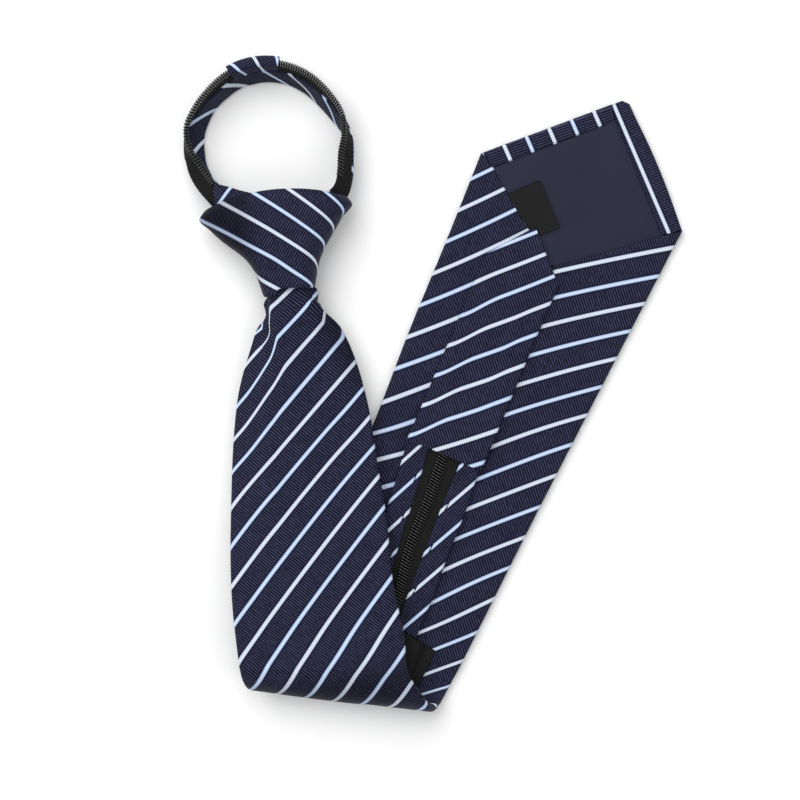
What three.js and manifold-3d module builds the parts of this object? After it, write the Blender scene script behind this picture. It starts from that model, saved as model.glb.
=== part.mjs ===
// A striped necktie on a zipper, ready knotted, lying on a table with its blade folded under.
// Millimetres, +Z up. The blade runs from its tip (back leg, on the table, back side up) round one
// soft fold and up to the knot (front leg, face up). The neck loop is drawn small above the knot.
import * as THREE from 'three';
import { mergeVertices } from 'three/addons/utils/BufferGeometryUtils.js';
import Module from 'manifold-3d';

const wasm = await Module();
wasm.setup();

// Driving dimensions: the blade
const BLADE_WIDTH = 80;
const TIP_LENGTH = 35;
const TIP_SKEW = 1.2;
const BACK_LENGTH = 212;
const FRONT_LENGTH = 165;
const BLADE_THICKNESS = 3.4;
const FACE_THICKNESS = 1.1;
const TIPPING_THICKNESS = 0.9;
const FOLD_RADIUS = 8;
const FOLD_TILT = 6.8;
const BLADE_LEAN = 17.2;
const CLEARANCE = 0.3;

// Driving dimensions: the tail and its zipper
const NARROW_WIDTH = 31;
const NARROW_LENGTH = 90;
const NARROW_TIP = 16.4;
const NARROW_SKEW = 3;
const NARROW_LAP = 9;
const TAIL_THICKNESS = 2.2;
const TAPE_WIDTH = 12.4;
const TAPE_THICKNESS = 0.9;
const COIL_WIDTH = 4;
const LEFT_STRIP_WIDTH = 7;
const RIGHT_STRIP_WIDTH = 8.3;

// Driving dimensions: the labels
const LABEL_THICKNESS = 0.5;
const CARE_LABEL_WIDTH = 18.6;
const CARE_LABEL_REACH = 13.3;
const KEEPER_LABEL_WIDTH = 14.4;
const KEEPER_LABEL_MARGIN = 4.2;
const KEEPER_LABEL_SETBACK = 19.5;

// Driving dimensions: the knot and the neck loop
const KNOT_WIDTH = 56;
const KNOT_LENGTH = 38.3;
const KNOT_THICKNESS = 22;
const KNOT_WALL = 1.6;
const KNOT_LEAN = 3;
const LOOP_RADIUS = 31;
const LOOP_RISE = 22.4;
const LOOP_SIDE = -4.6;
const BAND_WIDTH = 7.5;
const BAND_THICKNESS = 2;
const BAND_TAPE_WIDTH = 6.2;
const BAND_COIL_THICKNESS = 2;
const NECK_KEEPER_WALL = 1;

// Half widths of the blade, as shares of half its width. The back leg counts from the fold to the
// shoulders, the front leg from the fold to the end inside the knot.
const BACK_WIDTHS = [
  { at: 0, left: 0.89, right: 0.72 },
  { at: 0.2, left: 0.865, right: 0.765 },
  { at: 0.47, left: 0.888, right: 0.83 },
  { at: 1, left: 1, right: 0.99 },
];
const FRONT_WIDTHS = [
  { at: 0, left: 0.89, right: 0.72 },
  { at: 0.07, left: 0.885, right: 0.7 },
  { at: 0.27, left: 0.82, right: 0.675 },
  { at: 0.5, left: 0.665, right: 0.7 },
  { at: 0.74, left: 0.5, right: 0.6 },
  { at: 0.86, left: 0.345, right: 0.45 },
  { at: 0.915, left: 0.255, right: 0.27 },
  { at: 0.94, left: 0.17, right: 0.17 },
  { at: 1, left: 0.16, right: 0.16 },
];
const KNOT_MOUTH = 0.955;
const SHOULDERS = { left: 0.981, right: 1 };
const BLUNT_TIP = 0.035;

// How far the front leg drifts sideways from a straight fold, as shares of the blade's width
const FRONT_DRIFT = [
  { at: 0, drift: 0 },
  { at: 0.18, drift: -0.032 },
  { at: 0.42, drift: -0.033 },
  { at: 0.65, drift: 0.007 },
  { at: 0.89, drift: 0.08 },
  { at: 1, drift: 0.108 },
];

// Corners of the tipping, from the shoulder line and the centre line of the blade's back
const TIPPING_CORNERS = {
  left: { along: -0.21, across: -0.86 },
  top: { along: 0.8, across: -0.01 },
  right: { along: -0.04, across: 0.77 },
  bottom: { along: -0.89, across: 0.04 },
};

// The zipper's centre line beside the blade's, as shares of the blade's width
const BACK_TAIL_LINE = [
  { at: 0, side: 0.038 },
  { at: 0.22, side: -0.016 },
  { at: 0.48, side: -0.1 },
  { at: 1, side: -0.12 },
];
const FRONT_TAIL_LINE = [
  { at: 0, side: 0.038 },
  { at: 0.3, side: 0.06 },
  { at: 0.65, side: 0.035 },
  { at: 1, side: 0 },
];

// Outline of the knot from its lower mouth to its upper rim: half widths as shares of the knot's
// width, half height and centre height as shares of its thickness
const KNOT_SECTIONS = [
  { at: 0, left: 0.165, right: 0.165, half: 0.34, centre: 0.49 },
  { at: 0.22, left: 0.21, right: 0.195, half: 0.39, centre: 0.49 },
  { at: 0.37, left: 0.268, right: 0.225, half: 0.43, centre: 0.5 },
  { at: 0.6, left: 0.415, right: 0.31, half: 0.47, centre: 0.5 },
  { at: 0.78, left: 0.5, right: 0.376, half: 0.5, centre: 0.505 },
  { at: 0.93, left: 0.56, right: 0.445, half: 0.49, centre: 0.505 },
  { at: 1, left: 0.525, right: 0.42, half: 0.47, centre: 0.5 },
];
const RIM_CUT = { left: 0.06, right: 0.09 };
const KNOT_SQUARENESS = 2.6;

// The back wrap's upper edge, as shares of the knot's width and length
const BACK_WRAP_RIM = [
  { across: -0.44, along: 1.1 },
  { across: -0.36, along: 1.065 },
  { across: -0.28, along: 1.02 },
  { across: -0.2, along: 0.97 },
];

// The neck band's spine by its turn in degrees, clockwise from the knot: reach as a share of the
// loop's radius, height as a share of the knot's thickness, and the lie of the tape and of the
// cloth, in degrees from straight outwards through straight up
const BAND_STATIONS = [
  { turn: 33, reach: 1.07, height: 0.5, tape: 172, cloth: 205 },
  { turn: 45, reach: 1, height: 0.46, tape: 172, cloth: 207 },
  { turn: 63, reach: 1.055, height: 0.37, tape: 170, cloth: 210 },
  { turn: 80, reach: 1.01, height: 0.315, tape: 147, cloth: 217 },
  { turn: 95, reach: 0.96, height: 0.3, tape: 105, cloth: 223 },
  { turn: 110, reach: 0.865, height: 0.355, tape: 82, cloth: 240 },
  { turn: 128, reach: 0.785, height: 0.38, tape: 73, cloth: 249 },
  { turn: 153, reach: 0.75, height: 0.375, tape: 69, cloth: 248 },
  { turn: 193, reach: 0.735, height: 0.375, tape: 69, cloth: 248 },
  { turn: 225, reach: 0.755, height: 0.38, tape: 68, cloth: 249 },
  { turn: 243, reach: 0.795, height: 0.38, tape: 72, cloth: 248 },
  { turn: 261, reach: 0.89, height: 0.375, tape: 92, cloth: 246 },
  { turn: 276, reach: 0.97, height: 0.395, tape: 115, cloth: 260 },
  { turn: 291, reach: 1.035, height: 0.425, tape: 136, cloth: 266 },
  { turn: 303, reach: 1.115, height: 0.46, tape: 146, cloth: 250 },
  { turn: 310, reach: 1.15, height: 0.5, tape: 150, cloth: 226 },
  { turn: 317, reach: 1.15, height: 0.52, tape: 152, cloth: 212 },
];
const BAND_JOIN_TURN = 170;
const KEEPER_TURNS = { from: 149, to: 190 };

const degrees = THREE.MathUtils.degToRad;
const { smoothstep } = THREE.MathUtils;

// A smooth value between the rows of a table, by the column that orders it and the one asked for
function between(rows, key, place, column) {
  const last = rows.length - 1;
  let i = 0;
  while (i < last - 1 && rows[i + 1][key] < place) i += 1;
  const slope = (a, b) => (rows[b][column] - rows[a][column]) / (rows[b][key] - rows[a][key]);
  const tangent = (k) => (k === 0 || k === last ? slope(Math.max(k - 1, 0), Math.min(k + 1, last)) : slope(k - 1, k + 1));
  const span = rows[i + 1][key] - rows[i][key];
  const u = THREE.MathUtils.clamp((place - rows[i][key]) / span, 0, 1);
  const [u2, u3] = [u * u, u * u * u];
  return (2 * u3 - 3 * u2 + 1) * rows[i][column] + (u3 - 2 * u2 + u) * span * tangent(i)
    + (3 * u2 - 2 * u3) * rows[i + 1][column] + (u3 - u2) * span * tangent(i + 1);
}

// Turns a geometry's faces outwards, whichever way round its rows were laid
function facingOut(geometry) {
  const p = geometry.getAttribute('position');
  const index = geometry.getIndex().array;
  const [a, b, c] = [new THREE.Vector3(), new THREE.Vector3(), new THREE.Vector3()];
  let volume = 0;
  for (let i = 0; i < index.length; i += 3) {
    a.fromBufferAttribute(p, index[i]);
    b.fromBufferAttribute(p, index[i + 1]);
    c.fromBufferAttribute(p, index[i + 2]);
    volume += a.dot(b.cross(c));
  }
  if (volume < 0) {
    for (let i = 0; i < index.length; i += 3) [index[i], index[i + 1]] = [index[i + 1], index[i]];
  }
  geometry.computeVertexNormals();
  return geometry;
}

// A closed slab between an upper and a lower grid of points: point(i, j, side) for side 1 and -1
function slab(rows, columns, point) {
  const positions = [];
  for (const side of [1, -1]) {
    for (let i = 0; i < rows; i += 1) {
      for (let j = 0; j < columns; j += 1) positions.push(...point(i, j, side).toArray());
    }
  }
  const id = (i, j, lower) => lower * rows * columns + i * columns + j;
  const index = [];
  const quad = (a, b, c, d) => index.push(a, b, c, a, c, d);
  for (let i = 0; i + 1 < rows; i += 1) {
    for (let j = 0; j + 1 < columns; j += 1) {
      quad(id(i, j, 0), id(i + 1, j, 0), id(i + 1, j + 1, 0), id(i, j + 1, 0));
      quad(id(i, j, 1), id(i, j + 1, 1), id(i + 1, j + 1, 1), id(i + 1, j, 1));
    }
    quad(id(i, 0, 0), id(i, 0, 1), id(i + 1, 0, 1), id(i + 1, 0, 0));
    quad(id(i, columns - 1, 0), id(i + 1, columns - 1, 0), id(i + 1, columns - 1, 1), id(i, columns - 1, 1));
  }
  for (let j = 0; j + 1 < columns; j += 1) {
    quad(id(0, j, 0), id(0, j + 1, 0), id(0, j + 1, 1), id(0, j, 1));
    quad(id(rows - 1, j, 0), id(rows - 1, j, 1), id(rows - 1, j + 1, 1), id(rows - 1, j + 1, 0));
  }
  return indexed(positions, index);
}

// A sleeve open at both ends: point(i, k, side) for the outer (1) and the inner (-1) ring
function sleeve(rows, around, point) {
  const positions = [];
  for (const side of [1, -1]) {
    for (let i = 0; i < rows; i += 1) {
      for (let k = 0; k < around; k += 1) positions.push(...point(i, k, side).toArray());
    }
  }
  const id = (i, k, inner) => inner * rows * around + i * around + (k % around);
  const index = [];
  const quad = (a, b, c, d) => index.push(a, b, c, a, c, d);
  for (let k = 0; k < around; k += 1) {
    for (let i = 0; i + 1 < rows; i += 1) {
      quad(id(i, k, 0), id(i, k + 1, 0), id(i + 1, k + 1, 0), id(i + 1, k, 0));
      quad(id(i, k, 1), id(i + 1, k, 1), id(i + 1, k + 1, 1), id(i, k + 1, 1));
    }
    quad(id(0, k, 0), id(0, k, 1), id(0, k + 1, 1), id(0, k + 1, 0));
    quad(id(rows - 1, k, 0), id(rows - 1, k + 1, 0), id(rows - 1, k + 1, 1), id(rows - 1, k, 1));
  }
  return indexed(positions, index);
}

function indexed(positions, index) {
  const geometry = new THREE.BufferGeometry();
  geometry.setAttribute('position', new THREE.Float32BufferAttribute(positions, 3));
  geometry.setIndex(index);
  return facingOut(geometry);
}

// A flat plate: a polygon of plan points between two heights
function plate(corners, low, high) {
  const shape = new THREE.Shape(corners.map(({ x, y }) => new THREE.Vector2(x, y)));
  const geometry = new THREE.ExtrudeGeometry(shape, { depth: high - low, bevelEnabled: false });
  return geometry.translate(0, 0, low);
}

// The same polygon, its corners clockwise, with each side moved inwards by a distance
function inset(corners, distance) {
  return corners.map((corner, i) => {
    const after = corners[(i + 1) % corners.length];
    const into = new THREE.Vector2().subVectors(corner, corners.at(i - 1)).normalize();
    const out = new THREE.Vector2().subVectors(after, corner).normalize();
    const reach = distance / into.cross(out);
    return corner.clone().addScaledVector(into, reach).addScaledVector(out, -reach);
  });
}

function solidOf(geometry) {
  geometry.deleteAttribute('normal');
  geometry.deleteAttribute('uv');
  const merged = mergeVertices(geometry);
  return new wasm.Manifold(new wasm.Mesh({
    numProp: 3,
    vertProperties: Float32Array.from(merged.getAttribute('position').array),
    triVerts: Uint32Array.from(merged.getIndex().array),
  }));
}

function geometryOf(solid) {
  const mesh = solid.getMesh();
  const geometry = new THREE.BufferGeometry();
  geometry.setAttribute('position', new THREE.BufferAttribute(mesh.vertProperties, 3));
  geometry.setIndex(new THREE.BufferAttribute(mesh.triVerts, 1));
  geometry.computeVertexNormals();
  return geometry;
}

// Heights of the layers, from the middle of the blade's thickness
const HALF_BLADE = BLADE_THICKNESS / 2;
const TAIL_LIFT = HALF_BLADE + CLEARANCE + TAIL_THICKNESS / 2;
const ONE_TAIL_HEIGHT = BLADE_THICKNESS + TAIL_THICKNESS + 2 * CLEARANCE + HALF_BLADE;
const TWO_TAILS_HEIGHT = ONE_TAIL_HEIGHT + TAIL_THICKNESS + CLEARANCE;
const MOUTH_HEIGHT = 0.57 * KNOT_THICKNESS;

// The blade's profile across its fold: flat on the table, round the roll, and down to the height
// at which the front leg lies on the tail and then climbs into the knot
const ROLL_END = degrees(100);
const FRONT_HEIGHTS = [
  { at: FOLD_RADIUS * (1 - Math.cos(ROLL_END)), height: HALF_BLADE + FOLD_RADIUS * (1 + Math.sin(ROLL_END)) },
  { at: 0.16 * FRONT_LENGTH, height: TWO_TAILS_HEIGHT + 0.42 * FOLD_RADIUS },
  { at: 0.3 * FRONT_LENGTH, height: TWO_TAILS_HEIGHT + CLEARANCE },
  { at: 0.5 * FRONT_LENGTH, height: ONE_TAIL_HEIGHT + CLEARANCE },
  { at: 0.66 * FRONT_LENGTH, height: ONE_TAIL_HEIGHT + CLEARANCE },
  { at: 0.78 * FRONT_LENGTH, height: 0.5 * (ONE_TAIL_HEIGHT + MOUTH_HEIGHT) },
  { at: 0.875 * FRONT_LENGTH, height: MOUTH_HEIGHT },
  { at: 0.95 * FRONT_LENGTH, height: MOUTH_HEIGHT },
];

// The front leg's profile after the roll, sampled once so that lengths along it can be read off
function frontProfile() {
  const step = 1;
  const samples = [];
  let length = ROLL_END * FOLD_RADIUS;
  let before = null;
  for (let q = FRONT_HEIGHTS[0].at; q < 1.2 * FRONT_LENGTH; q += step) {
    const z = between(FRONT_HEIGHTS, 'at', q, 'height');
    if (before) length += Math.hypot(q - before.q, z - before.z);
    before = { length, q, z };
    samples.push(before);
  }
  return samples;
}
const PROFILE = frontProfile();

function profileAt(length) {
  const quarter = (Math.PI / 2) * FOLD_RADIUS;
  if (length < -quarter) return { q: FOLD_RADIUS - length - quarter, z: HALF_BLADE };
  const roll = ROLL_END * FOLD_RADIUS;
  if (length < roll) {
    const turn = length / FOLD_RADIUS;
    return { q: FOLD_RADIUS * (1 - Math.cos(turn)), z: HALF_BLADE + FOLD_RADIUS * (1 + Math.sin(turn)) };
  }
  let i = 0;
  while (i < PROFILE.length - 2 && PROFILE[i + 1].length < length) i += 1;
  const [a, b] = [PROFILE[i], PROFILE[i + 1]];
  const u = (length - a.length) / (b.length - a.length);
  return { q: a.q + u * (b.q - a.q), z: a.z + u * (b.z - a.z) };
}

function halfWidth(along, side) {
  const shoulder = BACK_LENGTH * SHOULDERS[side];
  const half = BLADE_WIDTH / 2;
  if (-along > shoulder) {
    const widest = BACK_WIDTHS.at(-1)[side];
    const beyond = (-along - shoulder) / (BACK_LENGTH + TIP_LENGTH - shoulder);
    return half * widest * (1 - (1 - BLUNT_TIP) * Math.min(1, beyond));
  }
  if (along < 0) return half * between(BACK_WIDTHS, 'at', -along / shoulder, side);
  return half * between(FRONT_WIDTHS, 'at', along / FRONT_LENGTH, side);
}

// The tip's point lies a little to the right of the centre line
function tipShift(along) {
  return TIP_SKEW * Math.max(0, (-along - BACK_LENGTH) / TIP_LENGTH);
}

// How far the front leg's cloth hangs below its centre: its left side droops off the back leg and
// both sides arch down into the knot
const DROOP = 3.5;
const ARCH = 2;
function sag(q, along, across) {
  const side = across < 0 ? 'left' : 'right';
  const share = Math.min(Math.abs(across) / halfWidth(along, side), 1.1);
  const span = q / FRONT_LENGTH;
  const droop = across < 0
    ? DROOP * smoothstep(share, 0.35, 1.1) * smoothstep(span, 0.2, 0.5) * (1 - smoothstep(span, 0.7, 0.85))
    : 0;
  const arch = ARCH * share * share * smoothstep(span, 0.66, 0.84);
  return droop + arch;
}

// The middle of the blade's thickness, by the length along the blade (towards the knot from where
// its centre line crosses the fold) and across it (to the right)
function bladeMiddle(along, across) {
  const lean = degrees(BLADE_LEAN);
  const tilt = degrees(FOLD_TILT);
  const length = along * Math.cos(lean) + across * Math.sin(lean);
  let p = across * Math.cos(lean) - along * Math.sin(lean);
  let { q, z } = profileAt(length);
  if (length > 0) {
    p += BLADE_WIDTH * between(FRONT_DRIFT, 'at', q / FRONT_LENGTH, 'drift');
    z -= sag(q, along, across);
  }
  return new THREE.Vector3(
    p * Math.cos(tilt) + q * Math.sin(tilt),
    q * Math.cos(tilt) - p * Math.sin(tilt),
    z,
  );
}

// A point at a height over the blade's middle, on the side of the tail: up over the back leg,
// inwards in the roll, down under the front leg
function onBlade(along, across, lift) {
  const reach = 0.4;
  const middle = bladeMiddle(along, across);
  const lengthwise = bladeMiddle(along + reach, across).sub(bladeMiddle(along - reach, across));
  const crosswise = bladeMiddle(along, across + reach).sub(bladeMiddle(along, across - reach));
  const inwards = lengthwise.cross(crosswise).normalize();
  return middle.addScaledVector(inwards, lift);
}

// Stations along the blade: close together round the roll, wide apart where it lies flat
function stations(from, to) {
  const steps = { roll: 2.1, slope: 5, flat: 12 };
  const rollStart = -3.4 * FOLD_RADIUS;
  const rollEnd = 3.6 * FOLD_RADIUS;
  const slopeEnd = 7 * FOLD_RADIUS;
  const places = [from];
  let place = from;
  while (place < to) {
    const flat = place < rollStart - steps.flat || place > slopeEnd;
    const kind = flat ? 'flat' : place < rollEnd ? 'roll' : 'slope';
    place += steps[kind];
    if (place < to - steps.roll) places.push(place);
  }
  places.push(to);
  return places;
}

function tippingPlan() {
  return ['left', 'top', 'right', 'bottom'].map((name) => {
    const { along, across } = TIPPING_CORNERS[name];
    const corner = bladeMiddle(-BACK_LENGTH - along * TIP_LENGTH, (across * BLADE_WIDTH) / 2);
    return new THREE.Vector2(corner.x, corner.y);
  });
}

function bladeGeometry() {
  const columns = [-1, -0.965, -0.91, -0.62, -0.3, 0, 0.3, 0.62, 0.91, 0.965, 1];
  const fullness = [0.3, 0.8, 1, 1, 1, 1, 1, 1, 1, 0.8, 0.3];
  const tip = -BACK_LENGTH - TIP_LENGTH;
  const neck = KNOT_MOUTH * FRONT_LENGTH;
  const gather = [0.84, 0.88, 0.91, 0.94].map((share) => share * FRONT_LENGTH);
  const places = [
    tip,
    tip + TIP_LENGTH / 2,
    -BACK_LENGTH,
    ...stations(-BACK_LENGTH * SHOULDERS.left, gather[0]),
    ...gather.slice(1),
    neck,
    FRONT_LENGTH,
  ];
  const cloth = slab(places.length, columns.length, (i, j, side) => {
    const share = columns[j];
    const across = share * halfWidth(places[i], share < 0 ? 'left' : 'right');
    return onBlade(places[i], across + tipShift(places[i]), side * fullness[j] * HALF_BLADE);
  });
  const recess = plate(tippingPlan(), FACE_THICKNESS, 2 * BLADE_THICKNESS);
  return geometryOf(solidOf(cloth).subtract(solidOf(recess)));
}

const TIPPING_BASE = FACE_THICKNESS + CLEARANCE;
const TIPPING_TOP = TIPPING_BASE + TIPPING_THICKNESS;

function tippingGeometry() {
  return plate(inset(tippingPlan(), CLEARANCE), TIPPING_BASE, TIPPING_TOP);
}

// The care label comes out of the seam between the tipping and the left flap
function careLabelGeometry() {
  const [left, , , bottom] = inset(tippingPlan(), CLEARANCE);
  const seam = { upper: 0.26, lower: 0.72 };
  const low = TIPPING_TOP + CLEARANCE;
  const upper = new THREE.Vector2().lerpVectors(left, bottom, seam.upper);
  const lower = new THREE.Vector2().lerpVectors(left, bottom, seam.lower);
  const edge = new THREE.Vector2().subVectors(bottom, left).normalize();
  const skew = degrees(-9);
  const out = new THREE.Vector2(-edge.y, edge.x).rotateAround(new THREE.Vector2(), skew);
  const across = new THREE.Vector2(out.y, -out.x);
  const farUpper = upper.clone().addScaledVector(out, CARE_LABEL_REACH);
  const farLower = farUpper.clone().addScaledVector(across, CARE_LABEL_WIDTH);
  return plate([upper, farUpper, farLower, lower], low, low + LABEL_THICKNESS);
}

function tailLine(along) {
  const rows = along < 0 ? BACK_TAIL_LINE : FRONT_TAIL_LINE;
  const share = along < 0 ? -along / BACK_LENGTH : along / FRONT_LENGTH;
  return BLADE_WIDTH * between(rows, 'at', share, 'side');
}

// Where the narrow blade ends and the bare zipper begins, on the back leg
const NARROW_END = -0.475 * BACK_LENGTH;
const ZIPPER_START = NARROW_END - NARROW_LAP;
const ZIPPER_END = FRONT_LENGTH;
const STRIP_END = 0.88 * FRONT_LENGTH;

// A strip of the tail, between two distances from the zipper's centre line
function tailStrip(from, to, inner, outer, fullness) {
  const places = stations(from, to);
  const columns = fullness.length;
  return slab(places.length, columns, (i, j, side) => {
    const squeeze = 1 - 0.55 * smoothstep(places[i], 0.7 * FRONT_LENGTH, STRIP_END);
    const reach = outer - inner;
    const across = tailLine(places[i]) + inner + reach * (j / (columns - 1)) * squeeze;
    return onBlade(places[i], across, TAIL_LIFT + (side * fullness[j] * TAIL_THICKNESS) / 2);
  });
}

function tailZipperGeometry() {
  const places = stations(ZIPPER_START, ZIPPER_END);
  const slope = 0.3;
  const halfCoil = COIL_WIDTH / 2;
  const halfTape = TAPE_WIDTH / 2;
  const columns = [-halfTape, -halfCoil - slope, -halfCoil, halfCoil, halfCoil + slope, halfTape];
  const coil = [false, false, true, true, false, false];
  return slab(places.length, columns.length, (i, j, side) => {
    const top = coil[j] ? TAIL_THICKNESS / 2 : TAPE_THICKNESS / 2;
    const narrowing = 1 - 0.12 * smoothstep(places[i], STRIP_END, KNOT_MOUTH * FRONT_LENGTH);
    const across = tailLine(places[i]) + columns[j] * narrowing;
    return onBlade(places[i], across, TAIL_LIFT + (side > 0 ? top : -TAPE_THICKNESS / 2));
  });
}

function leftStripGeometry() {
  const inner = TAPE_WIDTH / 2 + CLEARANCE;
  return tailStrip(ZIPPER_START, STRIP_END, -inner, -inner - LEFT_STRIP_WIDTH, [0.9, 1, 0.8]);
}

function rightStripGeometry() {
  const inner = TAPE_WIDTH / 2 + CLEARANCE;
  return tailStrip(ZIPPER_START, STRIP_END, inner, inner + RIGHT_STRIP_WIDTH, [0.9, 1, 0.8]);
}

// The narrow blade lies on the middle of the back leg, and its lower end laps over the zipper
function narrowBladeGeometry() {
  const tip = NARROW_END - NARROW_LENGTH;
  const shoulder = tip + NARROW_TIP;
  const lapStart = ZIPPER_START - 2 * CLEARANCE;
  const rampStart = lapStart - 14;
  const places = [tip, shoulder, (shoulder + rampStart) / 2, rampStart, rampStart + 7, lapStart, NARROW_END];
  const columns = [-1, -0.94, -0.5, 0, 0.5, 0.94, 1];
  const fullness = [0.4, 1, 1, 1, 1, 1, 0.4];
  const leftShare = 0.53;
  return slab(places.length, columns.length, (i, j, side) => {
    const place = places[i];
    const grow = Math.min(1, 0.06 + (place - tip) / NARROW_TIP);
    const taper = 1 - 0.07 * smoothstep(place, shoulder, NARROW_END);
    const centre = -0.096 * BLADE_WIDTH - NARROW_SKEW * (1 - grow);
    const half = columns[j] < 0 ? leftShare : 1 - leftShare;
    const across = centre + columns[j] * half * NARROW_WIDTH * grow * taper;
    const climb = smoothstep(place, rampStart, lapStart);
    const thickness = TAIL_THICKNESS * (1 - 0.3 * climb);
    const base = HALF_BLADE + CLEARANCE + climb * (TAIL_THICKNESS + CLEARANCE) + thickness / 2;
    return onBlade(place, across, base + (side * fullness[j] * thickness) / 2);
  });
}

// The keeper label is sewn down on both sides of the tail and passes over it
function keeperLabelGeometry() {
  const inner = TAPE_WIDTH / 2 + CLEARANCE;
  const from = -KEEPER_LABEL_SETBACK - KEEPER_LABEL_WIDTH;
  const rows = 4;
  const rise = TAIL_THICKNESS + CLEARANCE;
  const leftEdge = -inner - LEFT_STRIP_WIDTH;
  const rightEdge = inner + RIGHT_STRIP_WIDTH;
  const lap = KEEPER_LABEL_MARGIN;
  const ramp = 1.4;
  const margin = 1.3;
  const columns = [
    { side: leftEdge - margin - lap, climb: 0 },
    { side: leftEdge - margin - ramp, climb: 0 },
    { side: leftEdge - margin, climb: 1 },
    { side: (leftEdge + rightEdge) / 2, climb: 1.1 },
    { side: rightEdge + margin, climb: 1 },
    { side: rightEdge + margin + ramp, climb: 0 },
    { side: rightEdge + margin + lap, climb: 0 },
  ];
  return slab(rows, columns.length, (i, j, side) => {
    const place = from + (KEEPER_LABEL_WIDTH * i) / (rows - 1);
    const base = HALF_BLADE + 2 * CLEARANCE + LABEL_THICKNESS / 2 + columns[j].climb * rise;
    return onBlade(place, tailLine(place) + columns[j].side, base + (side * LABEL_THICKNESS) / 2);
  });
}

// The knot's frame: its mouth is where the blade comes out, and its axis leans to the left
const KNOT_BASE = bladeMiddle(KNOT_MOUTH * FRONT_LENGTH, 0);
function inKnot(across, along, height) {
  const lean = degrees(KNOT_LEAN);
  return new THREE.Vector3(
    KNOT_BASE.x + across * Math.cos(lean) - along * Math.sin(lean),
    KNOT_BASE.y + across * Math.sin(lean) + along * Math.cos(lean),
    height,
  );
}

function rimLength(share) {
  const cut = share < 0 ? RIM_CUT.left : RIM_CUT.right;
  return KNOT_LENGTH * (1 - cut * share * share);
}

function knotPoint(at, angle, wall) {
  const row = (column) => between(KNOT_SECTIONS, 'at', at, column);
  const [c, s] = [Math.cos(angle), Math.sin(angle)];
  const power = 2 / KNOT_SQUARENESS;
  const halfAcross = KNOT_WIDTH * row(c < 0 ? 'left' : 'right') - wall;
  const halfHeight = KNOT_THICKNESS * row('half') - wall;
  const across = Math.sign(c) * halfAcross * Math.abs(c) ** power;
  const height = KNOT_THICKNESS * row('centre') + Math.sign(s) * halfHeight * Math.abs(s) ** power;
  return inKnot(across, at * rimLength(across / (KNOT_WIDTH / 2)), height);
}

function knotWrapGeometry() {
  const rows = 10;
  const around = 28;
  return sleeve(rows, around, (i, k, side) => (
    knotPoint(i / (rows - 1), (2 * Math.PI * k) / around, side > 0 ? 0 : KNOT_WALL)
  ));
}

// The back wrap shows at the knot's upper left, under the front wrap's rim
function knotBackGeometry() {
  const rows = 3;
  const foot = 0.8;
  const height = 0.68 * KNOT_THICKNESS;
  const slope = 0.3;
  const thickness = 0.5 * KNOT_WALL;
  return slab(rows, BACK_WRAP_RIM.length, (i, j, side) => {
    const { across, along } = BACK_WRAP_RIM[j];
    const lift = slope * KNOT_THICKNESS * (across - BACK_WRAP_RIM.at(-1).across);
    const share = i / (rows - 1);
    return inKnot(
      across * KNOT_WIDTH,
      KNOT_LENGTH * (foot + (along - foot) * share),
      height + lift + (side * thickness) / 2,
    );
  });
}

// The neck band's spine at a turn round the loop, with its outward direction in plan
function bandSpine(turn) {
  const row = (column) => between(BAND_STATIONS, 'turn', turn, column);
  const reach = LOOP_RADIUS * row('reach');
  const angle = degrees(turn);
  const place = (r, height) => inKnot(
    LOOP_SIDE - r * Math.sin(angle),
    KNOT_LENGTH + LOOP_RISE - r * Math.cos(angle),
    height,
  );
  return {
    place,
    reach,
    height: KNOT_THICKNESS * row('height'),
    tape: degrees(row('tape')),
    cloth: degrees(row('cloth')),
  };
}

// A point of the band's section: so far from the spine along a lie, and to the side of it
function bandPoint(turn, lie, along, side) {
  const spine = bandSpine(turn);
  const angle = spine[lie];
  const out = along * Math.cos(angle) - side * Math.sin(angle);
  const up = along * Math.sin(angle) + side * Math.cos(angle);
  return spine.place(spine.reach + out, spine.height + up);
}

function turns(from, to) {
  const step = 7;
  const count = Math.max(1, Math.round((to - from) / step));
  return Array.from({ length: count + 1 }, (_, i) => from + ((to - from) * i) / count);
}

const BAND_HALF_GAP = THREE.MathUtils.radToDeg((0.75 * CLEARANCE) / (0.8 * LOOP_RADIUS - BAND_WIDTH));
const LEFT_BAND = { from: BAND_STATIONS[0].turn, to: BAND_JOIN_TURN - BAND_HALF_GAP };
const RIGHT_BAND = { from: BAND_JOIN_TURN + BAND_HALF_GAP, to: BAND_STATIONS.at(-1).turn };

// The striped cloth hangs from the spine. Where the tape lies back over it, it keeps clear below.
function bandClothGeometry({ from, to }) {
  const places = turns(from, to);
  const columns = [0, 0.08, 0.92, 1];
  const fullness = [0.6, 1, 1, 0.6];
  const start = 0.8;
  return slab(places.length, columns.length, (i, j, side) => {
    const { tape, cloth } = bandSpine(places[i]);
    const under = (BAND_THICKNESS / 2 + TAPE_THICKNESS / 2 + 2 * CLEARANCE) * Math.max(0, Math.cos(cloth - tape));
    const along = start + columns[j] * BAND_WIDTH;
    return bandPoint(places[i], 'cloth', along, under + (side * fullness[j] * BAND_THICKNESS) / 2);
  });
}

// The tape ends in one half of the coil
function bandTapeGeometry({ from, to }) {
  const places = turns(from, to);
  const start = 0.3;
  const coil = COIL_WIDTH / 2;
  const slope = 0.25;
  const columns = [start, BAND_TAPE_WIDTH - coil - slope, BAND_TAPE_WIDTH - coil, BAND_TAPE_WIDTH];
  const heights = [TAPE_THICKNESS, TAPE_THICKNESS, BAND_COIL_THICKNESS, BAND_COIL_THICKNESS];
  return slab(places.length, columns.length, (i, j, side) => (
    bandPoint(places[i], 'tape', columns[j], (side * heights[j]) / 2)
  ));
}

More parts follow.
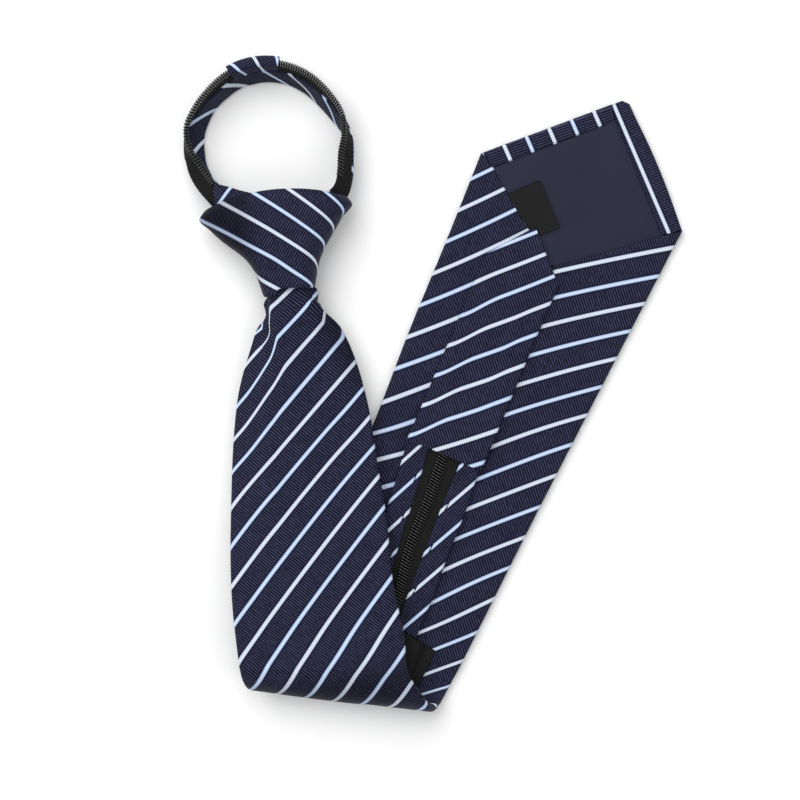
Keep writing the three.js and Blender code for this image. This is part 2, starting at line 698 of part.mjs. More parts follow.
// The neck keeper is a strip of cloth folded over the tapes where the two halves meet
function neckKeeperGeometry() {
  const places = turns(KEEPER_TURNS.from, KEEPER_TURNS.to);
  const farEdge = BAND_TAPE_WIDTH + CLEARANCE;
  const half = BAND_COIL_THICKNESS / 2 + CLEARANCE;
  const columns = [
    { folded: false, above: 1 },
    { folded: true, above: 1 },
    { folded: true, above: -1 },
    { folded: false, above: -1 },
  ];
  return slab(places.length, columns.length, (i, j, side) => {
    const wall = side > 0 ? NECK_KEEPER_WALL : 0;
    const along = columns[j].folded ? farEdge + wall : 0;
    return bandPoint(places[i], 'tape', along, columns[j].above * (half + wall));
  });
}

const navyCloth = new THREE.MeshStandardMaterial({ color: 0x1c2238, roughness: 0.75, metalness: 0 });
const satin = new THREE.MeshStandardMaterial({ color: 0x1b2038, roughness: 0.5, metalness: 0 });
const blackTape = new THREE.MeshStandardMaterial({ color: 0x111113, roughness: 0.8, metalness: 0 });
const blackSatin = new THREE.MeshStandardMaterial({ color: 0x131315, roughness: 0.55, metalness: 0 });

const tie = new THREE.Group();
function add(name, geometry, material) {
  const mesh = new THREE.Mesh(geometry, material);
  mesh.name = name;
  tie.add(mesh);
}

add('blade', bladeGeometry(), navyCloth);
add('tipping', tippingGeometry(), satin);
add('care_label', careLabelGeometry(), blackSatin);
add('keeper_label', keeperLabelGeometry(), blackSatin);
add('narrow_blade', narrowBladeGeometry(), navyCloth);
add('tail_strip_left', leftStripGeometry(), navyCloth);
add('tail_strip_right', rightStripGeometry(), navyCloth);
add('tail_zipper', tailZipperGeometry(), blackTape);
add('knot_wrap', knotWrapGeometry(), navyCloth);
add('knot_back', knotBackGeometry(), navyCloth);
add('neck_band_left', bandClothGeometry(LEFT_BAND), navyCloth);
add('neck_band_right', bandClothGeometry(RIGHT_BAND), navyCloth);
add('neck_tape_left', bandTapeGeometry(LEFT_BAND), blackTape);
add('neck_tape_right', bandTapeGeometry(RIGHT_BAND), blackTape);
add('neck_keeper', neckKeeperGeometry(), navyCloth);

// The origin is under the middle of the whole tie, on the table
const bounds = new THREE.Box3().setFromObject(tie);
const middle = bounds.getCenter(new THREE.Vector3());
tie.position.set(-middle.x, -middle.y, -bounds.min.z);
tie.updateMatrixWorld(true);

export default tie;
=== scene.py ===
"""A striped zipper tie, ready knotted, lying on a white table and seen from straight above.

Lengths are millimetres until a mesh is made. "along" runs along the blade, from where its centre line
crosses the fold towards the knot, and "across" runs to the right. The stripe field counts stripes, with
even numbers white and odd ones light blue, and the rib field is the way along a stripe in millimetres.
"""
import math

import bpy
import numpy as np
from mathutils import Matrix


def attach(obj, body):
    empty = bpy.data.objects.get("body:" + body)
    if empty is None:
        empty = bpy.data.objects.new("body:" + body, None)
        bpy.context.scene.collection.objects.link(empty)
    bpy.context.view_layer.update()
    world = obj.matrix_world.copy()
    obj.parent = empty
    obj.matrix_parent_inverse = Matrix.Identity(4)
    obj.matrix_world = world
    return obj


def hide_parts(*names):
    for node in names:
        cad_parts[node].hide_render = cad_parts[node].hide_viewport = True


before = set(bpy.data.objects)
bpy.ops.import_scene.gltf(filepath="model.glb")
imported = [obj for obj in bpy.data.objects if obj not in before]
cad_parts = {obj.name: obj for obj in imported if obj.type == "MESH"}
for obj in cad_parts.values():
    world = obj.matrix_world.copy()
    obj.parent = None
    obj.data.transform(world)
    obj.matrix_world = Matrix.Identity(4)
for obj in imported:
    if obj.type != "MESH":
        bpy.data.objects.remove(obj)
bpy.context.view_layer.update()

BLADE_WIDTH = 80.0
TIP_LENGTH = 35.0
TIP_SKEW = 1.2
FOLD_RISE = 1.5
BACK_LENGTH = 212.0
FRONT_LENGTH = 165.0
BLADE_THICKNESS = 3.4
HALF_BLADE = BLADE_THICKNESS / 2
FOLD_RADIUS = 8.0
FOLD_TILT = math.radians(6.8)
BLADE_LEAN = math.radians(17.2)
CLEARANCE = 0.3
TAIL_THICKNESS = 2.2
KNOT_WIDTH = 56.0
KNOT_LENGTH = 38.3
KNOT_THICKNESS = 22.0
KNOT_LEAN = math.radians(3)
KNOT_MOUTH = 0.955
LOOP_RADIUS = 31.0
LOOP_RISE = 22.4
LOOP_SIDE = -4.6
SHIFT = (-30.215, -115.878)

BACK_WIDTHS = {
    "at": [0, 0.2, 0.47, 1],
    "left": [0.89, 0.865, 0.888, 1],
    "right": [0.72, 0.765, 0.83, 0.99],
}
FRONT_WIDTHS = {
    "at": [0, 0.07, 0.27, 0.5, 0.74, 0.86, 0.915, 0.94, 1],
    "left": [0.89, 0.885, 0.82, 0.665, 0.5, 0.345, 0.255, 0.17, 0.16],
    "right": [0.72, 0.7, 0.675, 0.7, 0.6, 0.45, 0.27, 0.17, 0.16],
}
SHOULDERS = {"left": 0.981, "right": 1.0}
BLUNT_TIP = 0.035
FRONT_DRIFT = {
    "at": [0, 0.18, 0.42, 0.65, 0.89, 1],
    "drift": [0, -0.032, -0.033, 0.007, 0.08, 0.108],
}
BACK_TAIL_LINE = {"at": [0, 0.22, 0.48, 1], "side": [0.038, -0.016, -0.1, -0.12]}
FRONT_TAIL_LINE = {"at": [0, 0.3, 0.65, 1], "side": [0.038, 0.06, 0.035, 0]}
KNOT_SECTIONS = {
    "at": [0, 0.22, 0.37, 0.6, 0.78, 0.93, 1],
    "left": [0.165, 0.21, 0.268, 0.415, 0.5, 0.56, 0.525],
    "right": [0.165, 0.195, 0.225, 0.31, 0.376, 0.445, 0.42],
    "half": [0.34, 0.39, 0.43, 0.47, 0.5, 0.49, 0.47],
    "centre": [0.49, 0.49, 0.5, 0.5, 0.505, 0.505, 0.5],
}
RIM_CUT = {"left": 0.145, "right": 0.13}
KNOT_SQUARENESS = 2.6
BAND_STATIONS = {
    "turn": [33, 45, 63, 80, 95, 110, 128, 153, 193, 225, 243, 261, 276, 291, 303, 310, 317],
    "reach": [1.12, 1.08, 1.055, 1.01, 0.96, 0.865, 0.785, 0.75, 0.735, 0.755, 0.795, 0.89, 0.97, 1.035,
              1.13, 1.19, 1.22],
    "height": [0.5, 0.46, 0.37, 0.315, 0.3, 0.355, 0.38, 0.375, 0.375, 0.38, 0.38, 0.375, 0.395, 0.425,
               0.46, 0.5, 0.52],
    "tape": [172, 172, 160, 112, 90, 80, 73, 69, 69, 68, 72, 86, 112, 136, 146, 150, 152],
    "cloth": [205, 207, 210, 217, 223, 240, 249, 248, 248, 249, 248, 246, 260, 266, 250, 226, 212],
}


def between(table, key, place, column):
    """A smooth value between the rows of a table, as the part's own curves run."""
    at = np.asarray(table[key], float)
    value = np.asarray(table[column], float)
    place = np.asarray(place, float)
    slopes = np.diff(value) / np.diff(at)
    tangent = np.empty(len(at))
    tangent[0], tangent[-1] = slopes[0], slopes[-1]
    tangent[1:-1] = (value[2:] - value[:-2]) / (at[2:] - at[:-2])
    i = np.clip(np.searchsorted(at, place, side="left") - 1, 0, len(at) - 2)
    span = at[i + 1] - at[i]
    u = np.clip((place - at[i]) / span, 0, 1)
    u2, u3 = u * u, u ** 3
    return ((2 * u3 - 3 * u2 + 1) * value[i] + (u3 - 2 * u2 + u) * span * tangent[i]
            + (3 * u2 - 2 * u3) * value[i + 1] + (u3 - u2) * span * tangent[i + 1])


def ease(x, low, high):
    """A smooth rise from 0 at low to 1 at high."""
    u = np.clip((np.asarray(x, float) - low) / (high - low), 0, 1)
    return u * u * (3 - 2 * u)


def bell(distance, width):
    """A smooth hump of height 1, down to about a third one width away from its middle."""
    return np.exp(-(distance / width) ** 2)


ONE_TAIL_HEIGHT = BLADE_THICKNESS + TAIL_THICKNESS + 2 * CLEARANCE + HALF_BLADE
TWO_TAILS_HEIGHT = ONE_TAIL_HEIGHT + TAIL_THICKNESS + CLEARANCE
MOUTH_HEIGHT = 0.57 * KNOT_THICKNESS
ROLL_END = math.radians(100)
FRONT_HEIGHTS = {
    "at": [FOLD_RADIUS * (1 - math.cos(ROLL_END)), 0.16 * FRONT_LENGTH, 0.3 * FRONT_LENGTH,
           0.5 * FRONT_LENGTH, 0.66 * FRONT_LENGTH, 0.78 * FRONT_LENGTH, 0.875 * FRONT_LENGTH,
           0.95 * FRONT_LENGTH],
    "height": [HALF_BLADE + FOLD_RADIUS * (1 + math.sin(ROLL_END)), TWO_TAILS_HEIGHT + 0.42 * FOLD_RADIUS,
               TWO_TAILS_HEIGHT + CLEARANCE, ONE_TAIL_HEIGHT + CLEARANCE, ONE_TAIL_HEIGHT + CLEARANCE,
               0.5 * (ONE_TAIL_HEIGHT + MOUTH_HEIGHT), MOUTH_HEIGHT, MOUTH_HEIGHT],
}
PROFILE_Q = np.arange(FRONT_HEIGHTS["at"][0], 1.2 * FRONT_LENGTH, 1.0)
PROFILE_Z = between(FRONT_HEIGHTS, "at", PROFILE_Q, "height")
PROFILE_LENGTH = ROLL_END * FOLD_RADIUS + np.concatenate(
    [[0], np.cumsum(np.hypot(np.diff(PROFILE_Q), np.diff(PROFILE_Z)))])


def profile_at(length):
    """Plan distance from the fold and height of the blade's middle, by length along its profile."""
    length = np.asarray(length, float)
    quarter = math.pi / 2 * FOLD_RADIUS
    turn = np.clip(length / FOLD_RADIUS, -math.pi / 2, ROLL_END)
    q_roll = FOLD_RADIUS * (1 - np.cos(turn))
    z_roll = HALF_BLADE + FOLD_RADIUS * (1 + np.sin(turn))
    q_front = np.interp(length, PROFILE_LENGTH, PROFILE_Q)
    z_front = np.interp(length, PROFILE_LENGTH, PROFILE_Z)
    back = length < -quarter
    front = length > ROLL_END * FOLD_RADIUS
    q = np.where(back, FOLD_RADIUS - length - quarter, np.where(front, q_front, q_roll))
    z = np.where(back, HALF_BLADE, np.where(front, z_front, z_roll))
    return q, z


SIGNS = {"left": -1, "right": 1}


def half_width(along, side):
    """How far the laid blade reaches to one side of its centre line."""
    along = np.asarray(along, float)
    half = BLADE_WIDTH / 2
    shoulder = BACK_LENGTH * SHOULDERS[side]
    widest = BACK_WIDTHS[side][-1]
    beyond = np.clip((-along - shoulder) / (BACK_LENGTH + TIP_LENGTH - shoulder), 0, 1)
    tip = half * widest * (1 - (1 - BLUNT_TIP) * beyond)
    back = half * between(BACK_WIDTHS, "at", -along / shoulder, side)
    front = half * between(FRONT_WIDTHS, "at", along / FRONT_LENGTH, side)
    return np.where(-along > shoulder, tip, np.where(along < 0, back, front))


def tip_shift(along):
    return TIP_SKEW * np.maximum(0, (-np.asarray(along, float) - BACK_LENGTH) / TIP_LENGTH)


SIDE_DROOP = 3.5
KNOT_DROOP = 2


def sag(q, along, across):
    """How far the front hangs towards its edges, by its plan distance from the fold."""
    left = across < 0
    width = np.where(left, half_width(along, "left"), half_width(along, "right"))
    share = np.minimum(np.abs(across) / width, 1.1)
    span = q / FRONT_LENGTH
    droop = SIDE_DROOP * ease(share, 0.35, 1.1) * ease(span, 0.2, 0.5) * (1 - ease(span, 0.7, 0.85))
    droop = np.where(left, droop, 0)
    return droop + KNOT_DROOP * share * share * ease(span, 0.66, 0.84)


def blade_middle(along, across):
    """Where a place of the blade's middle layer lies in the part's frame."""
    along, across = np.broadcast_arrays(np.asarray(along, float), np.asarray(across, float))
    length = along * math.cos(BLADE_LEAN) + across * math.sin(BLADE_LEAN)
    p = across * math.cos(BLADE_LEAN) - along * math.sin(BLADE_LEAN)
    q, z = profile_at(length)
    q = q + FOLD_RISE * (1 - ease(q, 0, 22))
    front = length > 0
    p = p + np.where(front, BLADE_WIDTH * between(FRONT_DRIFT, "at", q / FRONT_LENGTH, "drift"), 0)
    z = z - np.where(front, sag(q, along, across), 0)
    return np.stack([p * math.cos(FOLD_TILT) + q * math.sin(FOLD_TILT) + SHIFT[0],
                     q * math.cos(FOLD_TILT) - p * math.sin(FOLD_TILT) + SHIFT[1], z], -1)


def unit(vectors):
    return vectors / np.linalg.norm(vectors, axis=-1, keepdims=True)


def on_blade(along, across, lift):
    """A point lifted off the blade's middle layer, towards the side that the tail lies on."""
    along, across, lift = np.broadcast_arrays(
        np.asarray(along, float), np.asarray(across, float), np.asarray(lift, float))
    reach = 0.4
    lengthwise = blade_middle(along + reach, across) - blade_middle(along - reach, across)
    crosswise = blade_middle(along, across + reach) - blade_middle(along, across - reach)
    inwards = unit(np.cross(lengthwise, crosswise))
    return blade_middle(along, across) + inwards * lift[..., None]


def tail_line(along):
    along = np.asarray(along, float)
    back = between(BACK_TAIL_LINE, "at", -along / BACK_LENGTH, "side")
    front = between(FRONT_TAIL_LINE, "at", along / FRONT_LENGTH, "side")
    return BLADE_WIDTH * np.where(along < 0, back, front)


KNOT_BASE = blade_middle(KNOT_MOUTH * FRONT_LENGTH, 0.0)


def in_knot(across, along, height):
    across, along, height = np.broadcast_arrays(across, along, height)
    return np.stack([KNOT_BASE[0] + across * math.cos(KNOT_LEAN) - along * math.sin(KNOT_LEAN),
                     KNOT_BASE[1] + across * math.sin(KNOT_LEAN) + along * math.cos(KNOT_LEAN),
                     height * 1.0], -1)


def rim_length(share):
    cut = np.where(share < 0, RIM_CUT["left"], RIM_CUT["right"])
    return KNOT_LENGTH * (1 - cut * share * share)


def knot_point(at, angle, wall):
    """A point on the knot's rounded section, a wall's thickness inside its skin."""
    c, s = np.cos(angle), np.sin(angle)
    power = 2 / KNOT_SQUARENESS
    sides = np.where(c < 0, between(KNOT_SECTIONS, "at", at, "left"),
                     between(KNOT_SECTIONS, "at", at, "right"))
    half_across = KNOT_WIDTH * sides - wall
    half_height = KNOT_THICKNESS * between(KNOT_SECTIONS, "at", at, "half") - wall
    across = np.sign(c) * half_across * np.abs(c) ** power
    height = (KNOT_THICKNESS * between(KNOT_SECTIONS, "at", at, "centre")
              + np.sign(s) * half_height * np.abs(s) ** power)
    return in_knot(across, at * rim_length(across / (KNOT_WIDTH / 2)), height)


def band_point(turn, lie, along, side):
    """A point of the neck loop: turn in degrees round it, then along and off its tape or cloth."""
    turn = np.asarray(turn, float)
    reach = LOOP_RADIUS * between(BAND_STATIONS, "turn", turn, "reach")
    height = KNOT_THICKNESS * between(BAND_STATIONS, "turn", turn, "height")
    slope = np.radians(between(BAND_STATIONS, "turn", turn, lie))
    r = reach + along * np.cos(slope) - side * np.sin(slope)
    up = along * np.sin(slope) + side * np.cos(slope)
    angle = np.radians(turn)
    return in_knot(LOOP_SIDE - r * np.sin(angle), KNOT_LENGTH + LOOP_RISE - r * np.cos(angle), height + up)


TAPE_THICKNESS = 0.9
COIL_WIDTH = 4.0
COIL_PITCH = 1.095
NARROW_WIDTH = 31.0
NARROW_LENGTH = 90.0
NARROW_TIP = 16.4
NARROW_SKEW = 3.0
NARROW_END = -0.475 * BACK_LENGTH
ZIPPER_START = NARROW_END - 9.0
STRIP_END = 0.88 * FRONT_LENGTH
TAIL_LIFT = HALF_BLADE + CLEARANCE + TAIL_THICKNESS / 2
RIB_PITCH = 0.935
STRIPE_PITCH = 8.5
STRIPE_WIDTH = 1.4


# Meshes

def faces_out(points, faces):
    """Turns all the faces round where they enclose a negative volume."""
    a, b, c, d = (points[faces[:, k]] for k in range(4))
    volume = np.einsum("ij,ij->i", a, np.cross(b, c) + np.cross(c, d)).sum()
    return faces[:, ::-1] if volume < 0 else faces


def make_piece(name, points, faces, fields, material, nodes=()):
    """A mesh piece in the part's frame, riding on the tie and standing for CAD nodes."""
    mesh = bpy.data.meshes.new(name)
    mesh.from_pydata((points / 1000).tolist(), [], [list(map(int, face)) for face in faces])
    mesh.validate()
    for field, values in fields.items():
        layer = mesh.attributes.new(field, "FLOAT", "POINT")
        layer.data.foreach_set("value", np.asarray(values, np.float32).ravel())
    mesh.polygons.foreach_set("use_smooth", [True] * len(mesh.polygons))
    mesh.materials.append(material)
    piece = bpy.data.objects.new(name, mesh)
    bpy.context.scene.collection.objects.link(piece)
    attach(piece, "root")
    if nodes:
        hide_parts(*nodes)


def grid_quads(ids):
    return np.stack([ids[:-1, :-1], ids[1:, :-1], ids[1:, 1:], ids[:-1, 1:]], -1).reshape(-1, 4)


def shell(name, upper, lower, faces, fields, material, nodes):
    """A closed piece from two grids of points, with the same fields on both."""
    points = np.concatenate([upper.reshape(-1, 3), lower.reshape(-1, 3)])
    shape = upper.shape[:2]
    values = {field: np.tile(np.broadcast_to(grid, shape).ravel(), 2) for field, grid in fields.items()}
    make_piece(name, points, faces_out(points, faces), values, material, nodes)


def slab(name, upper, lower, fields, material, nodes=()):
    """A closed slab between two grids of points."""
    rows, columns = upper.shape[:2]
    top = np.arange(rows * columns).reshape(rows, columns)
    low = top + rows * columns
    rim_top = np.concatenate([top[:, 0], top[-1, 1:], top[-2::-1, -1], top[0, -2:0:-1]])
    rim_low = rim_top + rows * columns
    rim = np.stack([rim_top, rim_low, np.roll(rim_low, -1), np.roll(rim_top, -1)], -1)
    faces = np.concatenate([grid_quads(top), grid_quads(low)[:, ::-1], rim[:, ::-1]])
    shell(name, upper, lower, faces, fields, material, nodes)


def blade_slab(name, along, across, high, low, fields, material, nodes=()):
    """A slab on the blade, between two lifts off its middle layer."""
    slab(name, on_blade(along, across, high), on_blade(along, across, low), fields, material, nodes)


def sleeve(name, outer, inner, fields, material, nodes=()):
    """A closed tube open at both ends, between an outer and an inner grid that both run right round."""
    rows, around = outer.shape[:2]
    out = np.arange(rows * around).reshape(rows, around)
    out = np.concatenate([out, out[:, :1]], 1)
    into = out + rows * around
    ends = [np.stack([out[k, :-1], into[k, :-1], into[k, 1:], out[k, 1:]], -1) for k in (0, -1)]
    faces = np.concatenate([grid_quads(out), grid_quads(into)[:, ::-1], ends[0], ends[1][:, ::-1]])
    shell(name, outer, inner, faces, fields, material, nodes)


FOLD_ZONE = 45
EDGE_STEPS = np.array([0, 0.1, 0.35, 0.75, 1.3])


def rows_from(start, *spans):
    """Even rows in one span after another, each span given as its end and its step."""
    rows = []
    for stop, step in spans:
        count = int(round(abs(stop - start) / step))
        rows.append(np.linspace(start, stop, count + 1)[:-1])
        start = stop
    return np.concatenate([*rows, [start]])


def columns_between(low, high, count):
    """Places across each row, close together by both edges, with the distance from each edge."""
    low, high = np.asarray(low, float)[:, None], np.asarray(high, float)[:, None]
    scale = np.minimum(1, (high - low) / 6)
    first, last = low + EDGE_STEPS * scale, high - EDGE_STEPS[::-1] * scale
    inner = np.linspace(first[:, -1], last[:, 0], count, axis=1)[:, 1:-1]
    across = np.concatenate([first, inner, last], 1)
    return across, (across - low) / scale, (high - across) / scale


def rounded(distance, radius):
    """How full a folded edge is at a distance from it, from 0 to 1."""
    u = np.clip(distance / radius, 0, 1)
    return np.sqrt(np.maximum(0, 1 - (1 - u) ** 2))


def cloth_grid(places, low, high, count):
    """Places along and across, with the distance from the nearer edge."""
    across, from_low, from_high = columns_between(low + 0 * places, high + 0 * places, count)
    return np.broadcast_to(places[:, None], across.shape), across, np.minimum(from_low, from_high)


def side_grid(places, edge, inner, side, count):
    """Places along and across, with the distances from an outer edge and from a line inside it."""
    if side == "left":
        across, from_edge, from_inner = columns_between(edge, inner, count)
    else:
        across, from_inner, from_edge = columns_between(inner, edge, count)
    return np.broadcast_to(places[:, None], across.shape), across, from_edge, from_inner


def waves(x, y, seed, size):
    """Smooth seeded unevenness between about -1 and 1."""
    rng = np.random.default_rng(seed)
    total = np.zeros(np.broadcast(x, y).shape)
    for _ in range(7):
        angle, phase, stretch = rng.uniform(0, math.tau), rng.uniform(0, math.tau), rng.uniform(0.6, 1.7)
        place = x * math.cos(angle) + y * math.sin(angle)
        total = total + np.sin(place * math.tau * stretch / size + phase)
    return total / 4


# Materials

class Nodes:
    """A material's node tree, with short calls for the nodes that these materials use."""

    def __init__(self, name):
        self.material = bpy.data.materials.new(name)
        self.material.use_nodes = True
        self.tree = self.material.node_tree
        self.tree.nodes.clear()
        self.shader = self.add("ShaderNodeBsdfPrincipled")
        output = self.add("ShaderNodeOutputMaterial")
        self.link(self.shader.outputs[0], output.inputs[0])

    def add(self, kind, **values):
        node = self.tree.nodes.new(kind)
        for key, value in values.items():
            setattr(node, key, value)
        return node

    def link(self, source, target):
        self.tree.links.new(source, target)

    def put(self, socket, value):
        if isinstance(value, bpy.types.NodeSocket):
            self.link(value, socket)
        else:
            socket.default_value = value

    def math(self, operation, a, b=0.0, c=0.0):
        node = self.add("ShaderNodeMath", operation=operation)
        for socket, value in zip(node.inputs, (a, b, c)):
            self.put(socket, value)
        return node.outputs[0]

    def times(self, a, b):
        return self.math("MULTIPLY", a, b)

    def scale_add(self, value, factor, start):
        return self.math("MULTIPLY_ADD", value, factor, start)

    def field(self, name):
        return self.add("ShaderNodeAttribute", attribute_name=name).outputs["Fac"]

    def ramp(self, value, low, high, to_low=0.0, to_high=1.0):
        node = self.add("ShaderNodeMapRange", interpolation_type="SMOOTHSTEP")
        for socket, v in zip(node.inputs, (value, low, high, to_low, to_high)):
            self.put(socket, v)
        return node.outputs[0]

    def mix(self, share, a, b):
        node = self.add("ShaderNodeMix", data_type="RGBA")
        for socket, value in ((node.inputs[0], share), (node.inputs[6], a), (node.inputs[7], b)):
            self.put(socket, value)
        return node.outputs[2]

    def place(self):
        return self.add("ShaderNodeTexCoord").outputs["Object"]

    def noise(self, scale, detail=2.0):
        node = self.add("ShaderNodeTexNoise")
        self.link(self.place(), node.inputs["Vector"])
        node.inputs["Scale"].default_value = scale
        node.inputs["Detail"].default_value = detail
        return node.outputs["Fac"]

    def streaks(self, rib, stripe):
        """Soft streaks along the ribs, about one rib wide and a few millimetres long."""
        place = self.add("ShaderNodeCombineXYZ")
        self.put(place.inputs[0], self.times(rib, 1.1))
        self.put(place.inputs[1], self.times(stripe, 4.0))
        node = self.add("ShaderNodeTexNoise")
        self.link(place.outputs[0], node.inputs["Vector"])
        node.inputs["Scale"].default_value = 1.0
        node.inputs["Detail"].default_value = 1.0
        return node.outputs["Fac"]

    def scaled(self, colour, factor):
        node = self.add("ShaderNodeVectorMath", operation="SCALE")
        self.put(node.inputs[0], colour if isinstance(colour, bpy.types.NodeSocket) else colour[:3])
        self.put(node.inputs["Scale"], factor)
        return node.outputs[0]

    def bump(self, height, distance):
        node = self.add("ShaderNodeBump")
        node.inputs["Distance"].default_value = distance / 1000
        self.link(height, node.inputs["Height"])
        self.link(node.outputs[0], self.shader.inputs["Normal"])

    def finish(self, colour, roughness, **constants):
        self.put(self.shader.inputs["Base Color"], colour)
        self.put(self.shader.inputs["Roughness"], roughness)
        for key, value in constants.items():
            self.shader.inputs[key.replace("_", " ")].default_value = value
        return self.material


WHITE_EDGE, WHITE_MIDDLE = (0.52, 0.59, 0.71, 1), (0.68, 0.75, 0.86, 1)
BLUE_EDGE, BLUE_MIDDLE = (0.33, 0.44, 0.72, 1), (0.63, 0.74, 0.90, 1)
NAVY = (0.0193, 0.0203, 0.0455)
STRIPE_BORDER = (0.004, 0.007, 0.022, 1)


def striped_silk(name):
    """Navy silk with ribs across its stripes, which are alternately white and light blue.

    Each stripe is paler in its middle, has ragged edges and a dark border, and is finely braided. Painted
    shade, read from a field on the mesh, darkens the ground and the stripes alike."""
    n = Nodes(name)
    stripe, rib = n.field("stripe"), n.field("rib")
    nearest = n.math("ROUND", stripe)
    off = n.times(n.math("ABSOLUTE", n.math("SUBTRACT", stripe, nearest)), STRIPE_PITCH)
    thread = n.math("SINE", n.times(rib, math.tau / RIB_PITCH))
    ragged = n.scale_add(thread, 0.06, off)
    half = STRIPE_WIDTH / 2
    inside = n.ramp(ragged, half - 0.12, half + 0.06, 1.0, 0.0)
    border = n.ramp(ragged, half + 0.35, half + 0.9, 1.0, 0.0)
    core = n.ramp(off, 0.1, half, 1.0, 0.0)
    parity = n.math("ABSOLUTE", n.math("MODULO", nearest, 2.0))
    white = n.mix(core, WHITE_EDGE, WHITE_MIDDLE)
    blue = n.mix(core, BLUE_EDGE, BLUE_MIDDLE)
    braid = n.math("SINE", n.scale_add(rib, math.tau / 0.7, n.times(off, 5.0)))
    pale = n.scaled(n.mix(parity, white, blue), n.scale_add(braid, 0.12, 0.94))
    cloud = n.noise(140.0)
    weft = n.noise(2400.0, 1.0)
    streak = n.streaks(rib, stripe)
    shade = n.scale_add(n.ramp(thread, -0.55, 0.55), 1.8, 0.08)
    shade = n.times(shade, n.scale_add(streak, 1.5, 0.25))
    shade = n.times(shade, n.scale_add(cloud, 0.6, 0.7))
    # painted shade: a field on the mesh darkens the stripes and the navy ground where the cloth turns from
    # the light
    painted_shade = n.field("painted_shade")
    pale = n.scaled(pale, n.scale_add(painted_shade, -0.6, 1.0))
    ground = n.scaled(NAVY, n.times(shade, n.math("SUBTRACT", 1.0, painted_shade)))
    ground = n.mix(n.times(border, 0.85), ground, STRIPE_BORDER)
    colour = n.mix(inside, ground, pale)
    n.bump(n.scale_add(thread, 0.5, n.times(inside, 0.5)), 0.14)
    rough = n.scale_add(weft, 0.2, 0.42)
    return n.finish(colour, rough, Specular_IOR_Level=0.06, Sheen_Weight=0.02, Sheen_Roughness=0.5)


def woven(name, colour, pitch, contrast, roughness, depth, specular=0.3, cloud_scale=120.0):
    """Plain fine cloth: threads along the rib field and a softer second set along the other."""
    n = Nodes(name)
    warp = n.math("SINE", n.times(n.field("rib"), math.tau / pitch))
    weft = n.math("SINE", n.times(n.field("stripe"), math.tau / pitch))
    cloud = n.noise(cloud_scale)
    fleck = n.noise(3200.0, 1.0)
    shade = n.scale_add(warp, contrast, n.scale_add(weft, contrast * 0.6, 0.75))
    shade = n.scale_add(cloud, 0.35, n.scale_add(fleck, contrast, shade))
    n.bump(n.scale_add(warp, 0.5, n.times(weft, 0.4)), depth)
    return n.finish(n.scaled(colour, shade), n.scale_add(fleck, 0.15, roughness),
                    Specular_IOR_Level=specular)


def nylon(name, colour, gloss, rough, ior=1.5):
    """Smooth moulded nylon, a little uneven in tone and roughness."""
    n = Nodes(name)
    wear_and_sheen = n.noise(900.0)
    n.bump(wear_and_sheen, 0.02)
    return n.finish(n.scaled(colour, n.scale_add(wear_and_sheen, 0.6, 0.7)),
                    n.scale_add(wear_and_sheen, 0.15, rough), Specular_IOR_Level=gloss, IOR=ior)


SILK = striped_silk("striped silk")
SATIN = woven("tipping satin", (0.0178, 0.0195, 0.0405), 0.3, 0.05, 0.45, 0.012,
              specular=0.12, cloud_scale=50.0)
TAPE = woven("zipper tape", (0.0062, 0.0062, 0.0060), 0.8, 0.5, 0.6, 0.1, specular=0.12)
RIBBON = woven("label ribbon", (0.0055, 0.0055, 0.0062), 0.5, 0.3, 0.42, 0.03, specular=0.12)
COIL = nylon("coil nylon", (0.005, 0.005, 0.0045), 0.8, 0.2)
# A lighter copy of the coil nylon for the bare middle of the loop: painted sheen.
PAINTED_SHEEN_COIL = nylon("coil nylon with painted sheen", (0.012, 0.0118, 0.011), 1.0, 0.12, ior=1.85)
# The coil's cord, nearly black: a real cord, partly painted shade in the gaps between the hooks.
CORD = woven("coil cord", (0.0025, 0.0025, 0.0024), 0.8, 0.3, 0.8, 0.05, specular=0.03)


# Stripes. Each field rises by 1 from a stripe to the next.

def pleat_share(along, across):
    """How far left of the pleat a place is, from 0 to 1. The pleat fades away from the knot."""
    middle = -6.9 - 6 * (1 - ease(along, 104, 140)) - ease(along, 144, 150)
    soft = 2.4 + 4.6 * (1 - ease(along, 126, 146))
    return ease((middle - across) / soft, -1, 1)


# Stripes per millimetre along and across, and in the direction in which they rise fastest
FACE_ALONG, FACE_ACROSS, FACE_STEEPEST = -0.083, 0.0735, 0.1109
KNOT_ALONG, KNOT_ACROSS, KNOT_STEEPEST = 0.1022, 0.0642, 0.1207


def face_stripe(along, across):
    """The blade's outer side. Near the knot the cloth is drawn up, less so left of the pleat."""
    plain = 8.82 + FACE_ALONG * along + FACE_ACROSS * across + 0.000045 * along * across
    right = -0.38 * ease(along - 0.55 * across, 106, 150)
    left = 0.42 * ease(along, 84, 132) + 0.45 * ease(along, 139, 148)
    left = left - 0.8 * ease(along, 150.5, 154)
    rolled = -0.25 * ease(across - 0.75 * (148 - along) - 12, -3, 2)
    rolled = rolled * ease(along, 136, 144) * (1 - ease(along, 150, 155))
    slack = 0.12 * bell(along - 15, 12) + 0.05 * bell(along - 104, 12) * ease(across, 10, 22)
    return plain - right - (left - right) * pleat_share(along, across) - rolled - slack


def face_painted_shade(along, across):
    """Painted shade: darker near the fold and on the right by the knot, where the silk turns from the
    light.
    """
    fold = 0.55 * bell(along - 8, 8)
    shoulder = 0.5 * ease(across + 0.35 * (along - 140), 9, 17) * ease(along, 112, 132)
    return np.maximum(fold, shoulder)


def face_rib(along, across):
    return (FACE_ACROSS * along - FACE_ALONG * across) / FACE_STEEPEST


